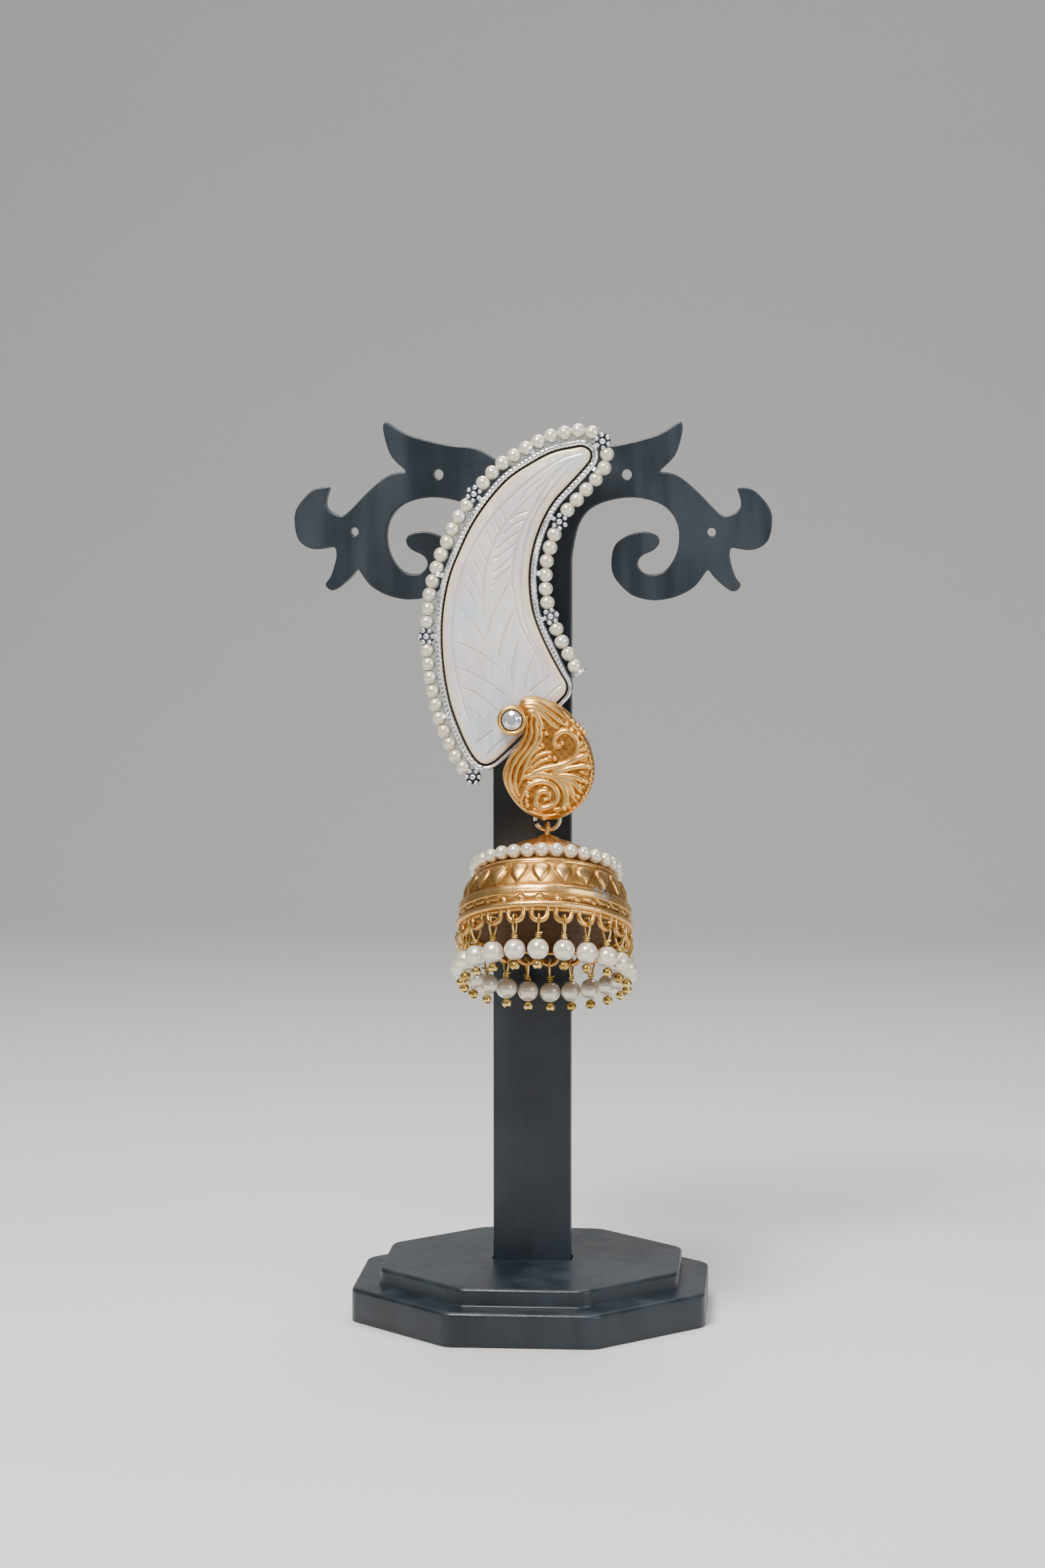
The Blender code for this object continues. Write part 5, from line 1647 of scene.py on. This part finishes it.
@dataclass
class Bell:
    """The hollow cast bell with its teardrops, bands and lugs, and the pearls round its shoulder.

    Levels are measured down from the top. A scuff or stain is its turn from the front in degrees, its
    level, and how far it spreads across and down.
    """

    depth: float = 0.0175
    top: float = -0.00125
    columns: int = 616
    row_step: float = 0.00019
    tear_width: float = 0.0030
    tear_top: float = 0.0089
    tear_foot: float = 0.0126
    tear_rise: float = 0.00048
    belly: Pair = (0.0085, 0.0128)
    belly_rise: float = 0.00022
    belly_rises: Pair = (0.0086, 0.0090)
    belly_falls: Pair = (0.0126, 0.0130)
    arches: int = 28
    arch_level: float = 0.01575
    arch_height: float = 0.00075
    arch_width: float = 0.00062
    arch_rise: float = 0.00030
    bud_rise: float = 0.00026
    bud_width: float = 0.00036
    bud_height: float = 0.00034
    band_rises: Pair = (0.0142, 0.0147)
    band_falls: Pair = (0.01615, 0.0163)
    gadroons: int = 26
    gadroon_rise: float = 0.00022
    cap_rises: Pair = (0.0013, 0.0020)
    cap_falls: Pair = (0.0046, 0.0052)
    inner_columns: int = 220
    loop_radius: float = 0.00125
    wire: float = 0.0008
    lug_radius: float = 0.0148
    lug_level: float = 0.01835
    lug_ring: float = 0.00138
    lug_wire: float = 0.00050
    pearl_ring: float = 0.01264
    pearl_level: float = 0.0062
    pearl: float = 0.0025
    pearls: int = 31
    thread: float = 0.00022
    bar: float = 0.00045
    loop_foot: Route = ((0.0007, 0.0003), (0.0011, 0.0001), (0.0013, -0.0001), (0.0012, -0.0003))
    scuff: tuple[float, float, float, float] = (45.0, 0.0136, 0.0016, 0.0009)
    stain: tuple[float, float, float, float] = (52.0, 0.0129, 0.0009, 0.0006)
    profile: tuple[Triple, ...] = (
        (.4, 0, .8), (1.3, .05, .8), (2.05, .3, .5), (2.6, .75, .6), (3.1, 1.1, .9),
        (3.9, 1.35, .3), (5, 1.85, .6), (7, 2.85, .8), (8.8, 3.75, .7), (10, 4.6, .6),
        (10.5, 5.2, .3), (10.75, 5.9, .1), (10.95, 6.6, .05), (11.2, 7.25, .15), (12.1, 7.45, .75),
        (12.75, 7.75, 1), (12.95, 8.15, .85), (12.86, 8.5, .15), (13.02, 8.7, .35),
        (13.48, 9.8, .35), (13.95, 11, .35), (14.35, 12.2, .3), (14.5, 12.8, .12), (14.75, 13, .5),
        (15.22, 13.25, .85), (15.42, 13.7, 1), (15.42, 14.2, .95), (15.2, 14.62, .6),
        (14.98, 14.8, .08), (15.02, 15, .3), (15.08, 15.6, .35), (15.14, 16.05, .2),
        (15.26, 16.2, .1), (15.6, 16.35, .7), (15.78, 16.65, 1), (15.8, 16.95, 1),
        (15.68, 17.28, .8), (15.4, 17.48, .5))
    # Painted shade: the inside's relief stays low, keeping it near black, and lifts only towards the
    # mouth
    inner: tuple[Triple, ...] = (
        (14.6, 17.5, .4), (14.3, 17.3, .2), (14.1, 16.5, .1), (13.9, 15, .1), (13.4, 13, .15),
        (12.6, 10.6, .1), (11.6, 8.6, .12), (10.3, 6.8, .1), (8.6, 5.4, .1), (6, 4, .1),
        (3, 3, .1), (.4, 2.8, .1))

    def build(self) -> None:
        """Make the bell's pieces."""
        self.build_wall()
        self.build_skin()
        self.build_lugs()
        self.build_loop()
        self.build_pearls()

    def wall_rows(self) -> Array:
        """Return the outer wall from the top down as radius, level and base relief, evenly spaced."""
        rows = np.array(self.profile) * (MM, MM, 1.0)
        smooth = curve_through(rows, 6, False)
        lengths = run_lengths(smooth[:, :2])
        stations = np.linspace(0.0, lengths[-1], int(lengths[-1] / self.row_step))
        return np.stack([np.interp(stations, lengths, column) for column in smooth.T], axis=1)

    def build_wall(self) -> None:
        """Make the outer wall with its gadroons, teardrops and scalloped band."""
        rows = self.wall_rows()
        angles = np.arange(self.columns) * math.tau / self.columns - math.pi / 2
        reach, level = rows[:, 0][:, None], rows[:, 1][:, None]
        relief = np.repeat(rows[:, 2][:, None], self.columns, axis=1)
        slopes = np.gradient(rows[:, :2], axis=0)
        slopes /= np.linalg.norm(slopes, axis=1, keepdims=True)
        out_r, out_z = slopes[:, 1][:, None], slopes[:, 0][:, None]
        turn = angles[None, :] + math.pi / 2
        rise = np.zeros_like(relief)
        for dress in (self.dress_cap, self.dress_belly, self.dress_band):
            added, relief = dress(turn, reach, level, relief)
            rise += added
        uneven = 0.00003 * (np.sin(turn * 9 + 1) + np.sin(turn * 23 + level * 900))
        radius = reach + (rise + uneven) * out_r
        height = self.top - level + rise * out_z * 0.9
        points = np.stack([radius * np.cos(angles)[None, :], radius * np.sin(angles)[None, :],
                           height * np.ones_like(radius)], axis=-1)
        scuff, stain = (np.exp(-(((turn - math.radians(angle)) * reach / across) ** 2)
                               - ((level - place) / down) ** 2)
                        for angle, place, across, down in (self.scuff, self.stain))
        form = Form()
        form.skin(points, relief=np.clip(relief, 0, 1), scuff=np.clip(scuff * 1.4, 0, 1),
                  stain=np.clip(stain * 1.3, 0, 1))
        form.moved(BELL_FRAME)
        form.piece("bell_wall", BELL_GOLD, Body.BELL, Slot.ANTIQUE_GOLD, ("bell_dome",))

    def dress_cap(self, turn: Grid, reach: Grid, level: Grid, relief: Grid) -> tuple[Grid, Grid]:
        """Return the rise of the gadroons on the cap, and the relief with them.

        Args:
            turn: Turns from the front.
            reach: Radii; not used.
            level: Levels below the top.
            relief: The relief so far.

        Returns:
            How far the wall stands out, and its relief.
        """
        cap = band(level, self.cap_rises, self.cap_falls)
        lobe = np.abs(np.sin(turn * self.gadroons / 2))
        relief = relief * (1 - cap) + cap * (0.05 + 0.95 * lobe ** 0.8)
        return cap * self.gadroon_rise * (lobe ** 0.6 - 0.4), relief

    def dress_belly(self, turn: Grid, reach: Grid, level: Grid, relief: Grid) -> tuple[Grid, Grid]:
        """Return the rise of the belly and its teardrops, and the relief with them; as dress_cap."""
        low, high = self.belly
        rise = self.belly_rise * np.sin(math.pi * np.clip((level - low) / (high - low), 0, 1))
        pitch = math.tau / RIM_COUNT
        across = ((turn + pitch / 2) % pitch - pitch / 2) * reach
        t = np.clip((level - self.tear_top) / (self.tear_foot - self.tear_top), 0.0, 1.0)
        half = self.tear_width / 2 * np.sin(math.pi * t ** 0.56) ** 0.85
        within = np.clip(1 - (across / np.maximum(half, 1e-5)) ** 2, 0, 1) * (half > 2e-5)
        tear = within ** 0.4
        rise = rise + self.tear_rise * tear * np.clip(half / (self.tear_width / 2), 0, 1) ** 0.4
        halo = np.exp(-(((np.abs(across) - half - 0.00018) / 0.00016) ** 2)) * (half > 2e-5)
        shown = band(level, self.belly_rises, self.belly_falls) > 0
        return rise, np.where(shown, np.maximum(relief * (1 - 0.75 * halo), tear), relief)

    def dress_band(self, turn: Grid, reach: Grid, level: Grid, relief: Grid) -> tuple[Grid, Grid]:
        """Return the rise of the arches and the buds below them, and the relief; as dress_cap."""
        step = math.tau / self.arches
        off = np.abs((turn + step / 2) % step - step / 2) * reach
        line = self.arch_level - self.arch_height * np.exp(-((off / self.arch_width) ** 2))
        above = ease(level, *self.band_rises) * (1 - ease(level - line, -0.00012, 0.00006))
        below = ease(level - line, 0.0, 0.0001) * (1 - ease(level, *self.band_falls))
        bud = np.exp(-((off / self.bud_width) ** 2)
                     - ((level - self.arch_level + 0.0001) / self.bud_height) ** 2) * below
        relief = np.maximum(relief * (1 - below), 0.55 * above)
        relief = np.maximum(relief, 0.9 * bud + 0.08 * below)
        return self.arch_rise * above + self.bud_rise * bud, relief

    def build_skin(self) -> None:
        """Make the rough inside of the bell, coloured near black as painted shade."""
        rows = curve_through(np.array(self.inner) * (MM, MM, 1.0), 5, False)
        reach, level, relief = (rows[:, k:k + 1] for k in range(3))
        angles = np.arange(self.inner_columns) * math.tau / self.inner_columns
        radius = reach + 0.00006 * np.sin(angles * 13) * np.sin(level / 0.0011)
        points = np.stack([radius * np.cos(angles), radius * np.sin(angles),
                           (self.top - level) * np.ones_like(radius)], axis=-1)
        dents = (np.sin(angles * RIM_COUNT) > 0.2) * (np.abs(level - 0.0112) < 0.0014)
        form = Form()
        form.skin(points, relief=relief + 0.25 * dents)
        form.moved(BELL_FRAME)
        form.piece("bell_inside", BELL_INSIDE_SHADE, Body.BELL, Slot.ANTIQUE_GOLD, ("bell_dome",))

    def level_circle(self, level: float, radius: float, count: int) -> list[Vector]:
        """Return a circle round the bell's axis at a level below its top."""
        centre = Vector((0, 0, self.top - level))
        return circle(centre, radius, Vector((1, 0, 0)), Vector((0, 1, 0)), count)

    def build_lugs(self) -> None:
        """Make the row of round-barred lugs below the rim, joined by a bar under it."""
        form = Form()
        for index in range(RIM_COUNT):
            turn = Matrix.Rotation(rim_turn(index), 3, "Z")
            centre = Vector((0, -self.lug_radius, self.top - self.lug_level))
            lift = self.lug_level - self.depth + 0.0004
            arc = np.linspace(0, math.pi, 17)
            path = [centre + self.lug_ring * Vector((math.cos(a), 0, -math.sin(a))) for a in arc]
            up = Vector((0, 0, lift))
            path = [path[0] + up, path[0] + up / 2, *path, path[-1] + up / 2, path[-1] + up]
            radii = [self.lug_wire * 1.25, *[self.lug_wire] * (len(path) - 2), self.lug_wire * 1.25]
            form.wire([turn @ p for p in path], np.array(radii), 12, relief=0.72)
        form.wire(self.level_circle(self.depth + 0.0001, self.lug_radius, 132), self.bar, 10,
                  looped=True, relief=0.5)
        form.moved(BELL_FRAME)
        form.piece("bell_lugs", BELL_GOLD, Body.BELL, Slot.ANTIQUE_GOLD, ("bell_dome",))

    def build_loop(self) -> None:
        """Make the loop on top of the bell with its turned foot."""
        form = Form()
        loop = circle(Vector(), self.loop_radius, Vector((0, 1, 0)), Vector((0, 0, 1)), 32)
        form.wire(loop, self.wire / 2, 12, looped=True, relief=0.8)
        foot = [(reach, self.top + rise) for reach, rise in self.loop_foot]
        form.skin(turned_rings(foot, 30, upright=True), relief=0.6)
        form.moved(BELL_FRAME)
        form.piece("bell_loop", BELL_GOLD, Body.BELL, Slot.ANTIQUE_GOLD, ("bell_dome",))

    def build_pearls(self) -> None:
        """Make the pearls round the shoulder and their wire."""
        pearls, wire = Form(), Form()
        draw = np.random.default_rng(11)
        for k in range(self.pearls):
            angle = math.tau * k / self.pearls - math.pi / 2
            out = Vector((math.cos(angle), math.sin(angle), 0))
            place = out * (self.pearl_ring + draw.uniform(-0.00007, 0.00004))
            place.z = self.top - self.pearl_level + draw.uniform(-0.00006, 0.00006)
            along = Vector((-out.y, out.x, 0))
            turn = along.to_track_quat("Z", "Y").to_matrix()
            pearls.ball(place, self.pearl / 2 * (1.015 + draw.uniform(-0.02, 0.015)), 32,
                        0.99 + draw.uniform(-0.02, 0.02), turn)
        ring = self.level_circle(self.pearl_level, self.pearl_ring, 124)
        wire.wire(ring, self.thread, 8, looped=True)
        for form, name, finish, slot in ((pearls, "shoulder_pearls", CREAM_PEARL, Slot.PEARL),
                                         (wire, "shoulder_wire", PIN_GOLD, Slot.ANTIQUE_GOLD)):
            form.moved(BELL_FRAME)
            form.piece(name, finish, Body.BELL, slot, ("bell_pearls",), Shading.ROUND)


# Pearl drops


@dataclass
class Drops:
    """The pearl drops that hang from the bell's lugs on their wire pins."""

    pearl: float = 0.0039
    end_ball: float = 0.00186
    length: float = 0.0063
    wire: float = 0.0004
    eye_width: float = 0.0018
    coil: float = 0.00085
    coil_turns: float = 2.2
    coil_height: float = 0.00075
    coil_wire: float = 0.00017
    ball_sink: float = 0.0001
    sway: float = 2.2
    dimple: float = 0.07
    dimple_width: float = 0.17
    eye: Route = (
        (0.0, 0.0), (0.62, -0.05), (0.95, -0.22), (0.98, -0.42), (0.72, -0.62), (0.36, -0.80),
        (0.10, -0.98), (-0.10, -0.98), (-0.36, -0.80), (-0.72, -0.62), (-0.98, -0.42),
        (-0.95, -0.22), (-0.62, -0.05))

    def build(self) -> None:
        """Make all drops as one piece of pearls and one of wire."""
        pearls, pins = Form(), Form()
        draw = np.random.default_rng(3)
        names = []
        for index in range(RIM_COUNT):
            name = f"drop_{index + 1:02d}"
            names.append(name)
            low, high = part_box(name)
            top = Vector(((low.x + high.x) / 2, (low.y + high.y) / 2, high.z))
            turn = Matrix.Rotation(rim_turn(index), 3, "Z")
            facing = BELL_FRAME.to_3x3() @ turn @ Vector((0, -1, 0))
            spin = math.atan2(facing.y, facing.x)
            sway = Matrix.Rotation(math.radians(draw.uniform(-self.sway, self.sway)), 4, "X")
            place = Matrix.Translation(top) @ Matrix.Rotation(spin, 4, "Z") @ sway
            self.add_pearl(pearls, place, draw)
            self.add_pin(pins, place, draw)
        pearls.piece("drop_pearls", WHITE_PEARL, Body.BELL, Slot.PEARL, tuple(names), Shading.ROUND)
        pins.piece("drop_pins", PIN_GOLD, Body.BELL, Slot.PEARL, tuple(names), Shading.ROUND)

    def add_pearl(self, form: Form, place: Matrix, draw: np.random.Generator) -> None:
        """Add one pearl with its drilled dimples.

        Args:
            form: Where to add it.
            place: The drop's place.
            draw: The random draws.
        """
        radius = self.pearl / 2 * (0.985 + draw.uniform(-0.02, 0.01))
        polar = np.linspace(0.0, math.pi, 23)
        reach = np.sin(polar) * radius
        level = np.cos(polar) * radius
        dimple = np.exp(-(reach / (radius * self.dimple_width)) ** 2) * radius * self.dimple
        level = level - np.sign(level) * dimple - self.length
        turned = Form()
        turned.skin(turned_rings(zip(np.maximum(reach, 0.00002), level), 36, upright=True))
        turned.place_in(form, place)

    def add_pin(self, form: Form, place: Matrix, draw: np.random.Generator) -> None:
        """Add one pin: its eye, the turns wrapped under it, a cut tail and the ball below the pearl.

        Args:
            form: Where to add it.
            place: The drop's place.
            draw: The random draws.
        """
        neck = -self.length + self.pearl / 2
        half = self.eye_width / 2
        turned = Form()
        loop = curve_through([(x * half, z * -neck - self.wire / 2 if z > -0.05 else z * -neck)
                              for x, z in self.eye], 4, True)
        turned.wire([Vector((x, 0.0, z)) for x, z in loop], self.wire / 2, 8, looped=True)
        start = draw.uniform(0, math.tau)
        last = start + math.tau * self.coil_turns
        radius = self.coil / 2
        turns = zip(np.linspace(start, last, 40), np.linspace(0.0, self.coil_height, 40))
        coil = [Vector((radius * math.cos(turn), radius * math.sin(turn), neck + 0.0001 + rise))
                for turn, rise in turns]
        away = Vector((-math.sin(last), math.cos(last), 0.15))
        length = draw.uniform(0.0003, 0.0010)
        coil += [coil[-1] + away * length * 0.5, coil[-1] + away * length]
        turned.wire(coil, self.coil_wire, 7)
        turned.wire([Vector((0, 0, neck + 0.0006)), Vector((0, 0, neck - 0.0004))], self.wire / 2, 8)
        centre = -self.length - self.pearl / 2 + self.ball_sink - self.end_ball / 2
        size = self.end_ball / 2 * (0.97 + draw.uniform(-0.04, 0.03))
        turned.ball(Vector((0, 0, centre)), size, 22, 0.94)
        turned.place_in(form, place)


# Studio


@dataclass
class Studio:
    """The camera, the lamps and the pale floor."""

    eye: Triple = (0.04706, -0.67134, 0.15551)
    turn: Triple = (85.04, 0.0, 4.17)
    lens: float = 85.0
    floor: float = 1.6
    wall: float = 0.55
    bend: float = 0.3
    surroundings: Colour = (0.80, 0.82, 0.85)
    glow: float = 0.26

    def build(self) -> None:
        """Set up the camera, the light and the floor."""
        self.set_camera()
        self.set_light()
        self.build_floor()

    def set_camera(self) -> None:
        """Place the camera where the photograph was taken from."""
        data = bpy.data.cameras.new("camera")
        data.lens = self.lens
        data.clip_start = 0.01
        camera = bpy.data.objects.new("camera", data)
        camera.location = self.eye
        camera.rotation_euler = [math.radians(angle) for angle in self.turn]
        bpy.context.scene.collection.objects.link(camera)
        bpy.context.scene.camera = camera

    def add_lamp(self, name: str, place: Triple, aim: Triple, size: float, power: float,
                 colour: Colour) -> None:
        """Add a soft square lamp.

        Args:
            name: Its name.
            place: Where it stands.
            aim: What it points at.
            size: Its side.
            power: Its power in watts.
            colour: Its colour.
        """
        data = bpy.data.lights.new(name, "AREA")
        data.shape = "SQUARE"
        data.size = size
        data.energy = power
        data.color = colour
        lamp = bpy.data.objects.new(name, data)
        lamp.location = place
        lamp.rotation_euler = (Vector(aim) - Vector(place)).to_track_quat("-Z", "Y").to_euler()
        bpy.context.scene.collection.objects.link(lamp)

    def set_light(self) -> None:
        """Add the lamps and the pale surroundings."""
        aim = (0.0, -0.01, 0.10)
        self.add_lamp("key", (-0.12, -0.30, 0.52), aim, 0.16, 5.6, (1.0, 0.97, 0.93))
        self.add_lamp("fill", (0.42, -0.30, 0.24), aim, 0.25, 1.3, (0.94, 0.97, 1.0))
        self.add_lamp("top", (0.02, 0.16, 0.55), aim, 0.30, 2.6, (1.0, 1.0, 1.0))
        world = bpy.data.worlds.new("studio")
        bpy.context.scene.world = world
        world.use_nodes = True
        shade = world.node_tree.nodes["Background"]
        shade.inputs["Color"].default_value = (*self.surroundings, 1.0)
        shade.inputs["Strength"].default_value = self.glow

    def build_floor(self) -> None:
        """Make the floor, which curves up behind the stand."""
        section = [(-self.floor, 0.0)]
        section += [(self.wall + self.bend * math.sin(a), self.bend * (1 - math.cos(a)))
                    for a in np.linspace(0.0, math.pi / 2, 17)]
        section.append((self.wall + self.bend, self.floor))
        points = [(side * self.floor, y, z) for y, z in section for side in (-1, 1)]
        faces = [(2 * k, 2 * k + 1, 2 * k + 3, 2 * k + 2) for k in range(len(section) - 1)]
        data = bpy.data.meshes.new("floor")
        data.from_pydata(points, [], faces)
        data.materials.append(StudioCard().material())
        data.shade_smooth()
        item = bpy.data.objects.new("floor", data)
        bpy.context.scene.collection.objects.link(item)


def main() -> None:
    """Build the studio and every piece in order."""
    for assembly in (Studio(), Stand(), Crescent(), EarPost(), Paisley(), JumpRing(), Bell(),
                     Drops()):
        LOG.info("%s", type(assembly).__name__)
        assembly.build()


if __name__ == "__main__":
    main()
